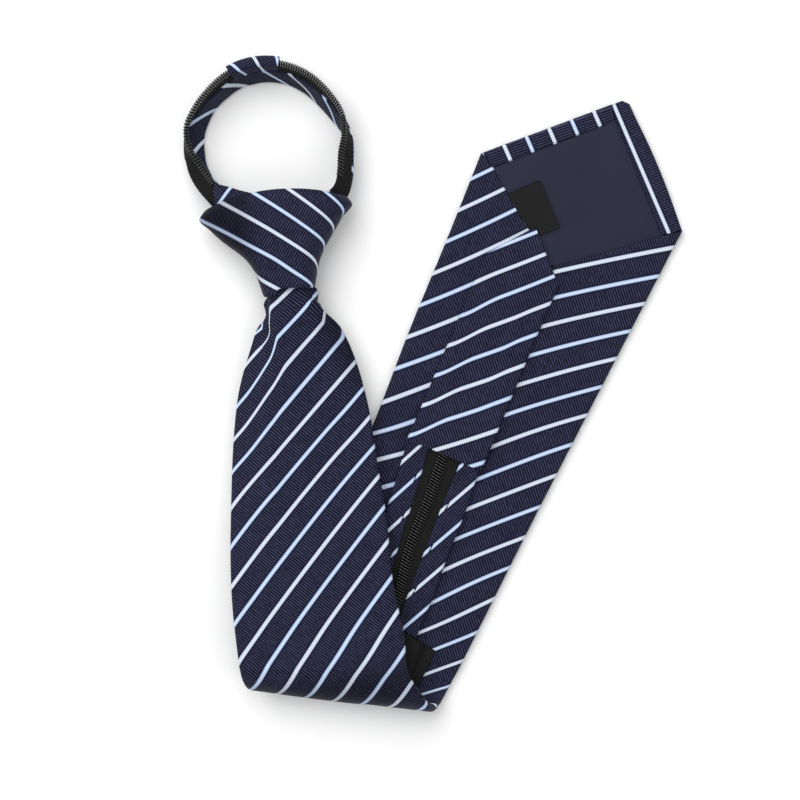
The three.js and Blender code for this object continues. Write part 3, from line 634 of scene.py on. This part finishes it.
def flap_stripe(along, across):
    """The folded-over sides of the blade's back: each is the outer side's pattern turned over."""
    right = 14.0 + 0.0783 * along + 0.098 * across + 0.000188 * along * across
    right = right - 0.27 * ease(-along, 145, 205)
    right = right + 0.09 * bell(along + 124, 20) - 0.15 * bell(along + 44, 15)
    left = 17.79 + 0.0672 * along + 0.0402 * across - 0.000245 * along * across
    left = left - 0.08 * bell(along + 103, 12)
    return np.where(across > 0, right, left)


def flap_rib(along, across):
    slope = np.where(across > 0, 0.9, 1.1)
    return (across - slope * along) / np.sqrt(1 + slope ** 2)


def narrow_stripe(along, across):
    plain = 14.7 + 0.0787 * along + 0.0512 * across - 0.000169 * along * across
    rolled = 0.18 * ease(-across, 11, 21) * ease(along, -172, -150)
    return plain - rolled + 0.07 * ease(across, -4, 2) * bell(along + 145, 20)


def strip_stripe(along, across, side):
    """The cloth beside the tape, whose stripes step a little where it is stitched."""
    if side == "left":
        return (along + 2.25 * across + 118.8) / 18.9 + 1
    return (along + 2.1 * across + 62.4) / 18.3 + 1


# The blade

def face_relief(along, across):
    """How far the outer side stands proud: a fold between two creases below the knot, and slight waves."""
    fold = 1.5 * ease(along, 118, 150) * (1 - pleat_share(along, across))
    fold = fold * (1 - ease(across, 8.5, 13.5))
    crease = -1.1 * bell(across + 7.2, 1.2) * ease(along, 126, 142)
    hollow = -0.9 * ease(along, 122, 145) * bell(across - 16, 5)
    dome = 0.9 * ease(along, 15, 60) * (1 - ease(along, 118, 140)) * np.cos(across / 22)
    slack = 0.3 * waves(along, across, 3, 55) * ease(along, -150, -20)
    return fold + crease + hollow + dome + slack


# Where the blade's edge swells out or draws in: the place along it, by how much and over what length
EDGE_SWELLS = {
    "left": {"along": [156, 151, 20, 0, -138], "by": [2.6, -1.8, 1.2, -1.8, 0.6],
             "over": [3, 2.4, 12, 5, 25]},
    "right": {"along": [157, 65, 110, 11, -230], "by": [4.2, 0.9, 0.7, -3.0, 1.4],
              "over": [4, 16, 15, 10, 11]},
}


def neck_width(along, side):
    """The blade's half width as it lies, with the fullness that the knot's mouth presses out."""
    places = np.asarray(along, float)
    swells = zip(*EDGE_SWELLS[side].values())
    return half_width(along, side) + sum(by * bell(places - place, over) for place, by, over in swells)


HEM_RADIUS = 1.3
FACE_GAP = 0.05
UNDER_LIFT = 0.02


def blade_face():
    """The blade's outer side from the tip to the knot, over its whole width."""
    rows = rows_from(-BACK_LENGTH - TIP_LENGTH, (-BACK_LENGTH, 1.2),
                     (-BACK_LENGTH * SHOULDERS["left"], 1.0), (-FOLD_ZONE, 1.5), (FOLD_ZONE, 0.9),
                     (FRONT_LENGTH, 1.3))
    shift = tip_shift(rows)
    along, across, from_edge = cloth_grid(
        rows, shift - neck_width(rows, "left"), shift + neck_width(rows, "right"), 84)
    edge = rounded(from_edge, HEM_RADIUS)
    tip = rounded((along - rows[0]) + 0.2, 1.2)
    lift = -(HALF_BLADE - 0.06) * edge * tip - face_relief(along, across) * (along > 0)
    # painted shade near the fold and on the right by the knot goes in with the fields
    fields = {"stripe": face_stripe(along, across), "rib": face_rib(along, across),
              "painted_shade": face_painted_shade(along, across)}
    blade_slab("blade_face", along, across, lift, -FACE_GAP, fields, SILK, ["blade"])


TIPPING_CORNERS = {
    "left": (-0.20, -0.84),
    "top": (0.77, 0.01),
    "right": (-0.136, 0.83),
    "bottom": (-0.89, 0.04),
}


def tipping_corner(name):
    along, across = TIPPING_CORNERS[name]
    return -BACK_LENGTH - along * TIP_LENGTH, across * BLADE_WIDTH / 2


def shoulder_corner(side):
    """Where the tip begins on one side of the blade, in the pattern."""
    place = -BACK_LENGTH * SHOULDERS[side]
    return place, SIGNS[side] * float(half_width(place, side))


SEAM_GAP = 0.1
TIPPING_BOW = {"left": 1.2, "right": 0.4}
FLAP_SEEDS = {"left": 5, "right": 6}


def flap(side):
    """One side of the blade folded over its back, up to the seam, from the tipping to the knot."""
    sign = SIGNS[side]
    shoulder, corner, seam = shoulder_corner(side), tipping_corner(side), tipping_corner("bottom")
    places = rows_from(shoulder[0] + 0.3, (seam[0], 0.8), (-FOLD_ZONE, 1.5), (FOLD_ZONE, 0.9),
                       (FRONT_LENGTH, 1.6))
    edge = sign * neck_width(places, side) + tip_shift(places)
    gap = sign * SEAM_GAP
    inside = np.interp(places, [shoulder[0], corner[0], seam[0], FRONT_LENGTH],
                       [shoulder[1], corner[1], seam[1] + gap, gap])
    share = np.clip((places - corner[0]) / (seam[0] - corner[0]), 0, 1)
    inside = inside + sign * TIPPING_BOW[side] * np.sin(np.pi * share)
    inside = np.where(sign * (edge - inside) < 0.4, edge - sign * 0.4, inside)
    along, across, from_edge, from_seam = side_grid(places, edge, inside, side, 46)
    full = rounded(from_edge, HEM_RADIUS) * (0.12 + 0.88 * rounded(from_seam, 1.1))
    puffed = 0.16 * waves(along, across, FLAP_SEEDS[side], 46) * ease(along, -190, -150)
    lift = FACE_GAP + (HALF_BLADE - 0.2) * full + puffed * full * (along < 0)
    own_side = np.where(across * sign > 0, across, sign * 0.01)
    fields = {"stripe": flap_stripe(along, own_side), "rib": flap_rib(along, own_side)}
    blade_slab(f"blade_flap_{side}", along, across, lift, UNDER_LIFT, fields, SILK)


def line_through(share, at, corners):
    """A line through corners in the pattern, each reached at its own share of the way."""
    return np.stack([np.interp(share, at, column) for column in zip(*corners)], -1)


LAP = np.array([-244.2, -3.2])
HEM_SINK = {"left": 0.35, "right": 0.15}


def hem(side):
    """The turned-in hem along one side of the tip. The right one laps over the left one at the point."""
    shoulder = np.array(shoulder_corner(side))
    apex = np.array([-BACK_LENGTH - TIP_LENGTH + 0.3, TIP_SKEW])
    u = np.linspace(0.004, 0.998, 110)
    inner = [tipping_corner(side), tipping_corner("top")]
    if side == "left":
        outer_line = line_through(u, [0, 1], [shoulder, LAP])
        inner_line = line_through(u, [0, 1], inner)
    else:
        outer_line = line_through(u, [0, 0.95, 1], [shoulder, apex + (-0.2, 0.8), apex + (-0.1, -1.2)])
        outer_line = outer_line + np.sin(np.pi * u)[:, None] * (-0.9, 0.9)
        inner_line = line_through(u, [0, 0.9, 1], [*inner, LAP])
    inwards = inner_line - outer_line
    width = np.linalg.norm(inwards, axis=1)
    across_u, from_outer, from_inner = columns_between(np.zeros(len(u)), width, 16)
    plan = outer_line[:, None] + inwards[:, None] * (across_u / width[:, None])[..., None]
    along, across = plan[..., 0], plan[..., 1]
    edge = unit(apex - shoulder)
    run = (plan - shoulder) @ edge
    depth = np.abs((plan - shoulder) @ np.array([-edge[1], edge[0]]))
    ends = 0.4 + 0.6 * rounded(u[:, None] * 40, 0.8)
    full = rounded(from_outer, HEM_RADIUS) * (0.15 + 0.85 * rounded(from_inner, 0.9)) * ends
    if side == "left":
        fields = {"stripe": (run - 8.9 - 0.08 * depth) / 8.87, "rib": depth}
    else:
        fields = {"stripe": (depth - 5.0 + 0.6 * run / 52) / STRIPE_PITCH, "rib": run}
    lift = FACE_GAP + (HALF_BLADE - HEM_SINK[side]) * full
    blade_slab(f"blade_hem_{side}", along, across, lift, UNDER_LIFT, fields, SILK)


def quad_patch(corners, rows, columns):
    """Places in the pattern over a four-cornered patch, with shares both ways."""
    a, b, c, d = (np.array(corner, float) for corner in corners)
    u = np.linspace(0, 1, rows)[:, None, None]
    v = np.linspace(0, 1, columns)[None, :, None]
    plan = (a * (1 - u) + b * u) * (1 - v) + (d * (1 - u) + c * u) * v
    return plan[..., 0], plan[..., 1], u[..., 0] + 0 * v[..., 0], v[..., 0] + 0 * u[..., 0]


def tipping():
    """Plain satin over the tip's back, tucked under the hems and flaps all round."""
    corners = [np.array(tipping_corner(name)) for name in ("left", "top", "right", "bottom")]
    middle = sum(corners) / 4
    tucked = [corner + 1.8 * unit(corner - middle) for corner in corners]
    along, across, u, v = quad_patch(tucked, 70, 70)
    rim = np.minimum(np.minimum(u, 1 - u), np.minimum(v, 1 - v)) * 38
    pucker = 0.09 * waves(along, across, 11, 22) + 0.1 * waves(along, across, 12, 9) * bell(rim, 3)
    lift = 0.28 + (pucker + 0.22) * rounded(rim, 2.5)
    fields = {"stripe": along, "rib": across}
    blade_slab("tip_lining", along, across, lift, 0.0, fields, SATIN, ["tipping"])


# Labels

CARE_LENGTH = 13.3
CARE_WIDTH = 18.6
CARE_TURN = math.radians(-9)


def care_label():
    """A bare ribbon label out of the left seam of the tipping, lifting a little at its free end."""
    left, bottom = np.array(tipping_corner("left")), np.array(tipping_corner("bottom"))
    edge = unit(bottom - left)
    start = left + edge * 0.26 * np.linalg.norm(bottom - left) + np.array([0.8, -0.8])
    beside = np.array([-edge[1], edge[0]])
    out = beside * math.cos(CARE_TURN) - edge * math.sin(CARE_TURN)
    down = np.array([out[1], -out[0]]) * CARE_WIDTH
    far = start + out * CARE_LENGTH
    along, across, u, v = quad_patch([start, far, far + down, start + down], 50, 60)
    lift = 1.05 + 0.5 * u * u + 0.12 * np.sin(v * 5 + 1) * u
    fields = {"stripe": u * CARE_LENGTH, "rib": v * CARE_WIDTH}
    blade_slab("care_ribbon", along, across, lift + 0.32, lift, fields, RIBBON, ["care_label"])


def keeper_label():
    """A bare ribbon label sewn down on both sides of the tail, which passes under it."""
    low, high = tail_edge(-25, "left_cloth") - 5.4, tail_edge(-25, "right_cloth") + 6.6
    across = np.linspace(low, high, 80)[None, :] + np.zeros((30, 1))
    top, bottom = -33.4 + 0.17 * (across - 19), -17.6 + 0.08 * (across - 20)
    place = top + (bottom - top) * np.linspace(0, 1, 30)[:, None]
    over = ease(across, low + 3, low + 6.4) * (1 - ease(across, high - 6.4, high - 3))
    lift = HALF_BLADE + 2 * CLEARANCE + over * (TAIL_THICKNESS + CLEARANCE) * 1.05
    fields = {"stripe": across, "rib": place}
    blade_slab("keeper_ribbon", place, across, lift + 0.34, lift, fields, RIBBON, ["keeper_label"])


# The tail

TAIL_EDGES = {
    "along": [-112, -98, -85, -65, -50, -39, -20, 0],
    "left_cloth": [-22.5, -21.4, -19.7, -17.5, -15.5, -14, -12, -10.6],
    "left_seam": [-14.5, -13, -11.2, -9, -7.3, -6, -5, -3.1],
    "coil": [-8.6, -7.3, -5.9, -5, -2.3, -0.4, 1.2, 3],
    "right_seam": [-2, -0.6, -0.4, 0.6, 1.4, 2.2, 6, 9.2],
    "right_cloth": [6, 7.2, 8.5, 9.3, 10.5, 10.5, 13.5, 17.5],
}
TAIL_HALVES = {"left_cloth": -13.6, "left_seam": -6.1, "coil": 0, "right_seam": 6.2, "right_cloth": 14.5}


def tail_edge(along, column):
    """Where a line of the tail lies across the blade: as seen on the back, and plain beyond the fold."""
    along = np.asarray(along, float)
    plain = tail_line(along) + TAIL_HALVES[column]
    return np.where(along > 0, plain, between(TAIL_EDGES, "along", np.minimum(along, 0), column))


def narrow_blade():
    """The narrow blade on the middle of the back, its lower end over the start of the zipper."""
    tip = NARROW_END - NARROW_LENGTH
    shoulder = tip + NARROW_TIP
    lap = ZIPPER_START - 2 * CLEARANCE
    places = rows_from(tip, (shoulder, 0.7), (NARROW_END, 1.2))
    grow = np.minimum(1, 0.03 + (places - tip) / NARROW_TIP)
    lower = ease(places, shoulder, NARROW_END)
    centre = -0.096 * BLADE_WIDTH - NARROW_SKEW * (1 - grow)
    left = NARROW_WIDTH * grow * (0.5 - 0.035 * lower)
    right = NARROW_WIDTH * grow * (0.445 + 0.045 * lower)
    along, across, from_edge = cloth_grid(places, centre - left, centre + right, 60)
    along = along + 1.3 * bell(across + 21, 3) * ease(along, -112, NARROW_END)
    climb = ease(along, lap - 14, lap)
    base = HALF_BLADE + 0.16 + climb * (TAIL_THICKNESS + 0.1)
    end = rounded(NARROW_END - places[:, None] + 0.15, 0.9)
    puffed = 0.22 * waves(along, across, 21, 34)
    thickness = (1.65 + puffed - 0.25 * climb) * rounded(from_edge, 1.1) * end
    fields = {"stripe": narrow_stripe(along, across), "rib": (across - 0.9 * along) / math.sqrt(1.81)}
    blade_slab("narrow_cloth", along, across, base + 0.1 + thickness, base, fields, SILK, ["narrow_blade"])


STITCH_LINE = 1.8


def tail_strip(side):
    """The cloth sewn to one side of the tape, rolled up a little at the seam, with a stitched line."""
    places = rows_from(ZIPPER_START, (-FOLD_ZONE, 1.0), (FOLD_ZONE, 0.9), (STRIP_END, 1.5))
    squeeze = 0.55 * ease(places, 0.7 * FRONT_LENGTH, STRIP_END)
    seam = tail_edge(places, f"{side}_seam")
    edge = tail_edge(places, f"{side}_cloth")
    edge = edge + (seam - edge) * squeeze
    along, across, from_edge, from_seam = side_grid(places, edge, seam, side, 22)
    full = rounded(from_edge, 0.9) * (0.3 + 0.7 * rounded(from_seam, 0.8))
    groove = 0.5 * bell(from_seam - STITCH_LINE, 0.16)
    top = (TAIL_THICKNESS / 2 + 0.05) * full - groove + 0.1 * waves(along, across, 31, 24)
    bottom = -0.85 * TAIL_THICKNESS / 2 * (0.5 + 0.5 * rounded(np.minimum(from_edge, from_seam), 1))
    stitched = bell(from_seam - STITCH_LINE, 0.13)
    phase = strip_stripe(along, across, side) + 0.015 * (from_seam < STITCH_LINE)
    phase = phase + stitched * (np.floor(phase) + 0.5 - phase)
    fields = {"stripe": phase, "rib": (2.1 * along - across) / math.sqrt(1 + 2.1 ** 2)}
    blade_slab(f"tail_cloth_{side}", along, across, TAIL_LIFT + top, TAIL_LIFT + bottom, fields, SILK,
               [f"tail_strip_{side}"])


def tail_tape():
    """The zipper's tape between the two strips, raised beside the coil."""
    places = rows_from(ZIPPER_START, (-FOLD_ZONE, 1.2), (FOLD_ZONE, 0.9), (FRONT_LENGTH, 1.6))
    narrowing = 1 - 0.12 * ease(places, STRIP_END, KNOT_MOUTH * FRONT_LENGTH)
    centre = tail_edge(places, "coil")
    left = centre + (tail_edge(places, "left_seam") - 0.4 - centre) * narrowing
    right = centre + (tail_edge(places, "right_seam") + 0.4 - centre) * narrowing
    along, across, from_edge = cloth_grid(places, left, right, 30)
    side = across - centre[:, None]
    raised = 0.16 * bell(np.abs(side) - COIL_WIDTH / 2 - 0.5, 0.35)
    full = 0.4 + 0.6 * rounded(from_edge, 0.4)
    top = TAPE_THICKNESS / 2 * full * 0.6 + raised
    fields = {"stripe": side, "rib": along}
    blade_slab("tail_tape", along, across, TAIL_LIFT + top, TAIL_LIFT - TAPE_THICKNESS / 2 * full, fields,
               TAPE, ["tail_zipper"])


ROD_SIDES = 6


def rods(name, place, out, over, spine_out, spine_up, shear, radius, material):
    """One bent rod at each place, along the same spine of steps out, over and onwards."""
    onwards = unit(np.gradient(place, axis=0))

    def mixed(a, b, c):
        return out[:, None] * a[:, None] + over[:, None] * b[:, None] + onwards[:, None] * c[:, None]

    spine = place[:, None] + mixed(spine_out, spine_up, shear)
    tangent = unit(mixed(np.gradient(spine_out), np.gradient(spine_up), np.gradient(shear)))
    one = unit(np.cross(tangent, np.broadcast_to(onwards[:, None], tangent.shape)))
    two = np.cross(tangent, one)
    angle = np.arange(ROD_SIDES)[:, None] * math.tau / ROD_SIDES
    circle = (np.cos(angle) * one[..., None, :] + np.sin(angle) * two[..., None, :]) * radius
    points = spine[..., None, :] + circle
    ids = np.arange(points[..., 0].size).reshape(points.shape[:-1])
    closed = np.concatenate([ids, ids[:, :, :1]], 2)
    walls = np.concatenate([grid_quads(rod) for rod in closed])
    faces = walls.tolist() + ids[:, 0, ::-1].tolist() + ids[:, -1].tolist()
    make_piece(name, points.reshape(-1, 3), faces, {}, material)


TAIL_HOOK_OUT = np.array([-0.25, -0.1, 0.3, 0.9, 1.5, 1.95, 2.15, 2.1])
TAIL_HOOK_UP = np.array([0.2, 0.5, 0.66, 0.7, 0.64, 0.42, 0.1, -0.2])
TAIL_HOOK_RADIUS = 0.26
TAIL_COIL_END = 30


def tail_coils():
    """The closed coil down the tail: the hooks of the two halves meet over the cord in the middle."""
    lift = TAIL_LIFT + 0.25
    for side, sign in SIGNS.items():
        places = np.arange(ZIPPER_START + 8, TAIL_COIL_END, COIL_PITCH)
        places = places + (COIL_PITCH / 2 if side == "right" else 0)
        centre = tail_edge(places, "coil")
        middle = on_blade(places, centre, lift)
        out = unit(on_blade(places, centre + 0.5, lift) - on_blade(places, centre - 0.5, lift))
        over = unit(on_blade(places, centre, lift + 1) - middle)
        shear = -sign * COIL_PITCH / 4 * (1 - TAIL_HOOK_OUT / 2.1)
        rods(f"tail_coil_{side}", middle, sign * out, over, TAIL_HOOK_OUT, TAIL_HOOK_UP, shear,
             TAIL_HOOK_RADIUS, COIL)


def tail_cord():
    """The cord inside the coil, darker than the tape and the coil so that the gaps between the hooks look
    dark: partly painted shade.
    """
    places = rows_from(ZIPPER_START + 7, (-FOLD_ZONE, 1.2), (TAIL_COIL_END + 1, 0.9))
    centre = tail_edge(places, "coil")
    along, across, from_edge = cloth_grid(places, centre - 1.85, centre + 1.85, 14)
    top = TAIL_LIFT + 0.2 + 0.45 * rounded(from_edge, 1.2)
    fields = {"stripe": across, "rib": along}
    blade_slab("tail_cord", along, across, top, TAIL_LIFT + 0.1, fields, CORD)


# The knot

KNOT_STEPS = 240


def knot_arc():
    """How far the knot's skin runs from its top line, to the right, on a grid of sections and angles."""
    at = np.linspace(0, 1, 90)
    angle = np.linspace(0, math.tau, KNOT_STEPS + 1)[:-1]
    points = knot_point(at[:, None], angle[None, :], 0)
    steps = np.linalg.norm(np.diff(np.concatenate([points, points[:, :1]], 1), axis=1), axis=2)
    arc = np.concatenate([np.zeros((len(at), 1)), np.cumsum(steps, 1)[:, :-1]], 1)
    return at, angle, arc[:, [KNOT_STEPS // 4]] - arc


def knot_along(points):
    plan = points[..., :2] - KNOT_BASE[:2]
    return plan[..., 1] * math.cos(KNOT_LEAN) - plan[..., 0] * math.sin(KNOT_LEAN)


def wrap_start(arc):
    """The wrap's lower edge lies a little higher over the blade than at its left."""
    return (2.4 * (ease(arc, -8, -3.5) + 1 - ease(arc, -30, -24)) + 0.05) / KNOT_LENGTH


def knot_wrap():
    """The knot's front wrap, rolled in at its edges, with shallow draws towards the mouth."""
    share, angle, arc = knot_arc()
    near_mouth = len(share) // 5
    first = wrap_start(arc[near_mouth])
    at = first + (1 - first) * share[:, None]
    arc = np.stack([np.interp(at[:, k], share, arc[:, k]) for k in range(len(angle))], 1)
    angle = np.broadcast_to(angle, at.shape)
    lip = 2 - rounded((at - first) * KNOT_LENGTH + 0.2, 1.3) - rounded((1 - at) * KNOT_LENGTH + 0.2, 1.2)
    along = knot_along(knot_point(at, angle, 0))
    stripe = -0.064 + KNOT_ALONG * along + KNOT_ACROSS * arc + 0.00033 * along * arc + 0.00051 * arc * arc
    stripe = stripe + 0.06 * (1 - ease(along, 6, 14))
    draw = 0.4 * waves(arc * (1.3 - 0.5 * at), along * 0.25, 41, 17) * (1 - ease(at, 0.5, 1))
    outer = knot_point(at, angle, 0.1 + 0.7 * np.minimum(lip, 1) - 0.6 * draw)
    # painted shade: the knot's left side is darkened, where it turns from the light
    painted_shade = 0.6 * (1 - ease(arc, -18, -7))
    rib = (KNOT_ACROSS * along - KNOT_ALONG * arc) / KNOT_STEEPEST
    fields = {"stripe": stripe, "rib": rib, "painted_shade": painted_shade}
    sleeve("knot_cloth", outer, knot_point(at, angle, 1.35), fields, SILK, ["knot_wrap"])


BACK_RIM = {
    "across": [-0.455, -0.44, -0.36, -0.28, -0.2, -0.14],
    "along": [1.07, 1.1, 1.065, 1.02, 0.985, 0.97],
}
BACK_START = 0.84


def knot_back():
    """The back wrap's edge at the upper left, under the rim of the front wrap."""
    across = np.linspace(BACK_RIM["across"][0], BACK_RIM["across"][-1], 40)
    rim = np.interp(across, *BACK_RIM.values())
    share = np.linspace(0, 1, 26)[:, None]
    along = KNOT_LENGTH * (BACK_START + (rim - BACK_START) * share)
    side = across * KNOT_WIDTH
    height = 0.68 * KNOT_THICKNESS + 1.6 + 0.12 * (side + 0.2 * KNOT_WIDTH)
    height = height - 1.6 * (1 - rounded((1 - share) * 5 + 0.05, 1.4)) - 1.6 * ease(-side, 21, 26)
    stripe = (along - 31.2 - 1.2 * (side + 16.5)) / 12 + 2
    fields = {"stripe": stripe, "rib": side * 0.75 + along * 0.65}
    slab("knot_back_cloth", in_knot(side, along, height), in_knot(side, along, height - 1.3), fields, SILK,
         ["knot_back"])


# The neck loop

BAND_WIDTH = 7.5
BAND_THICKNESS = 2.0
BAND_TAPE_WIDTH = 6.2
BAND_COIL_THICKNESS = 2.0
BAND_JOIN_TURN = 170
BAND_TURNS = {"left": (33, 169.97), "right": (170.03, 317)}
HOOKED_TURNS = (50, 305)
# Turns of the loop whose coil gets the lighter nylon, as painted sheen.
SHEEN_TURNS = (95, 262)
KEEPER_TURNS = (149.5, 192.5)


BAND_RADIUS = LOOP_RADIUS * 0.93


def band_rows(side):
    start, stop = BAND_TURNS[side]
    return np.linspace(start, stop, int((stop - start) / 1.1))


def band_arc(turn):
    """How far round the loop a turn is from the join, in millimetres."""
    return np.radians(turn - BAND_JOIN_TURN) * BAND_RADIUS


BAND_STRIPES = {
    "turn": [30, 71.5, 99, 140, 179, 205, 243, 274, 298, 320],
    "count": [-1, 0, 1, 2, 3, 4, 5, 6, 7, 8],
    "lean": [1.2, 1.1, 1.2, 0.85, 1.25, 2.2, 2.0, 1.6, 1.4, 1.4],
}


def band_cloth(side):
    """The cloth on one half of the loop, folded back under the tape where the two lie flat together."""
    turn = band_rows(side)
    cloth, tape = (between(BAND_STATIONS, "turn", turn, name) for name in ("cloth", "tape"))
    flat = np.maximum(0, np.cos(np.radians(cloth - tape)))
    t, across, from_edge = cloth_grid(turn, 0.95 * flat ** 0.5 - 0.45, 0.8 + BAND_WIDTH, 24)
    under = (BAND_THICKNESS / 2 + TAPE_THICKNESS / 2 + 0.2) * flat[:, None]
    full = 0.1 + 0.9 * rounded(from_edge, 0.9)
    puffed = 0.15 * waves(band_arc(t), across, 51, 20)
    upper = band_point(t, "cloth", across, under - (BAND_THICKNESS / 2 + puffed) * full)
    lower = band_point(t, "cloth", across, under + (BAND_THICKNESS / 2) * full)
    lean = between(BAND_STRIPES, "turn", t, "lean")
    stripe = between(BAND_STRIPES, "turn", t, "count") - lean * across / 17
    fields = {"stripe": stripe, "rib": across + 0.7 * band_arc(t)}
    slab(f"band_cloth_{side}", upper, lower, fields, SILK, [f"neck_band_{side}"])


def band_tape(side):
    """The tape on one half of the loop, with a bead under its hooks."""
    t, across, from_edge = cloth_grid(band_rows(side), -0.1, BAND_TAPE_WIDTH + 0.25, 20)
    bead = 0.25 * bell(across - BAND_TAPE_WIDTH + 0.8, 0.5)
    half = TAPE_THICKNESS / 2 * (0.35 + 0.65 * rounded(from_edge, 0.4)) + bead
    fields = {"stripe": across, "rib": band_arc(t)}
    slab(f"band_tape_{side}", band_point(t, "tape", across, half), band_point(t, "tape", across, -half),
         fields, TAPE, [f"neck_tape_{side}"])


BAND_HOOK_RADIUS = 0.3
BAND_HOOK_REACH = 1.5
BAND_HOOK_HALF = 0.78


def band_coil(side):
    """One half of the coil, bent over the tape's free edge. Where it lies bare its nylon is a lighter,
    glossier copy, which is a painted sheen.
    """
    start, stop = BAND_TURNS[side]
    step = math.degrees(COIL_PITCH / BAND_RADIUS)
    every = np.arange(max(start, HOOKED_TURNS[0]), min(stop, HOOKED_TURNS[1]), step)
    # painted sheen: hooks in the bare middle of the loop get the lighter nylon, those near the knot the
    # dark one
    wear_and_sheen = (every > SHEEN_TURNS[0]) & (every < SHEEN_TURNS[1])
    bend = np.linspace(-math.pi / 2, math.pi / 2, 7)
    spine_out = BAND_HOOK_REACH - BAND_HOOK_HALF + BAND_HOOK_HALF * np.cos(bend)
    spine_out = np.concatenate([[-0.7], spine_out, [-0.7]])
    spine_up = BAND_HOOK_HALF * np.concatenate([[-0.8], np.sin(bend), [0.8]])
    at = BAND_TAPE_WIDTH - 1.2
    for name, turn, material in (("coil", every[wear_and_sheen], PAINTED_SHEEN_COIL), ("coil_end", every[~wear_and_sheen], COIL)):
        middle = band_point(turn, "tape", at, 0.0)
        out = band_point(turn, "tape", at + 1, 0.0) - middle
        over = band_point(turn, "tape", at, 1.0) - middle
        rods(f"band_{name}_{side}", middle, out, over, spine_out, spine_up, 0.35 * spine_up,
             BAND_HOOK_RADIUS, material)


def neck_keeper():
    """Cloth folded over the tapes where the two halves meet."""
    turn = np.linspace(*KEEPER_TURNS, 60)
    far, half, wall = BAND_TAPE_WIDTH + CLEARANCE, BAND_COIL_THICKNESS / 2 + CLEARANCE, 1.0
    bend = np.linspace(-math.pi / 2, math.pi / 2, 15)[1:-1]
    flat = np.linspace(0, 1, 12)
    end = np.linspace(2.2, 4.2, len(turn))[:, None]
    out = np.concatenate([far * flat, far + np.cos(bend)])[None, :] + 0 * end
    out = np.concatenate([out, end + (far - end) * flat[::-1]], 1)
    up = np.concatenate([-1 + 0 * flat, np.sin(bend), 1 + 0 * flat]) + 0 * out
    t = turn[:, None] + 0 * out
    base = np.minimum(out, far)
    beyond = out - base

    def layer(depth):
        return band_point(t, "tape", base - 0.6 + beyond * depth * 0.75, up * depth)

    steps = np.hypot(np.diff(base + beyond * 2, axis=1), np.diff(up * 2, axis=1))
    path = np.concatenate([np.zeros((len(turn), 1)), np.cumsum(steps, 1)], 1)
    stripe = (band_arc(t) - band_arc(153) - 0.47 * (path - 7)) / 9.06 + 1
    fields = {"stripe": stripe, "rib": path + 0.55 * band_arc(t)}
    slab("keeper_cloth", layer(half + wall - 0.05), layer(half), fields, SILK, ["neck_keeper"])


# The set

TABLE_CORNERS = [(-4, -4), (4, -4), (4, 4), (-4, 4)]
TABLE_TOP = -0.0003
WORLD_STRENGTH = 0.6
LIGHTS = {
    "name": ["key", "fill"],
    "at": [(-0.45, 0.6, 1.1), (0.6, -0.5, 1.3)],
    "size": [1.4, 1.2],
    "power": [14.0, 3.0],
}


def studio():
    """A white table, soft light all round and two lamps."""
    mesh = bpy.data.meshes.new("table")
    mesh.from_pydata([(x, y, TABLE_TOP) for x, y in TABLE_CORNERS], [], [(0, 1, 2, 3)])
    floor = bpy.data.objects.new("table", mesh)
    bpy.context.scene.collection.objects.link(floor)
    n = Nodes("white table")
    mesh.materials.append(n.finish((0.93, 0.93, 0.93, 1), 0.75, Specular_IOR_Level=0.15))
    world = bpy.data.worlds.new("studio")
    bpy.context.scene.world = world
    world.use_nodes = True
    background = world.node_tree.nodes["Background"]
    background.inputs["Color"].default_value = (1, 1, 1, 1)
    background.inputs["Strength"].default_value = WORLD_STRENGTH
    for name, at, size, power in zip(*LIGHTS.values()):
        data = bpy.data.lights.new(name, "AREA")
        data.shape = "DISK"
        data.size = size
        data.energy = power
        light = bpy.data.objects.new(name, data)
        light.location = at
        light.rotation_mode = "QUATERNION"
        light.rotation_quaternion = (-light.location).to_track_quat("-Z", "Y")
        bpy.context.scene.collection.objects.link(light)
    bpy.context.scene.view_settings.view_transform = "Standard"


CAMERA_PLACE = (-0.01264, -0.0053, 0.85)
CAMERA_FIELD = 800 / 2700


def camera():
    data = bpy.data.cameras.new("camera")
    data.sensor_width = 36
    data.lens = data.sensor_width * CAMERA_PLACE[2] / CAMERA_FIELD
    seen = bpy.data.objects.new("camera", data)
    seen.location = CAMERA_PLACE
    bpy.context.scene.collection.objects.link(seen)
    bpy.context.scene.camera = seen


camera()
studio()
blade_face()
flap("left")
flap("right")
hem("left")
hem("right")
tipping()
care_label()
keeper_label()
narrow_blade()
tail_strip("left")
tail_strip("right")
tail_tape()
tail_coils()
tail_cord()
knot_wrap()
knot_back()
for half in ("left", "right"):
    band_cloth(half)
    band_tape(half)
    band_coil(half)
neck_keeper()
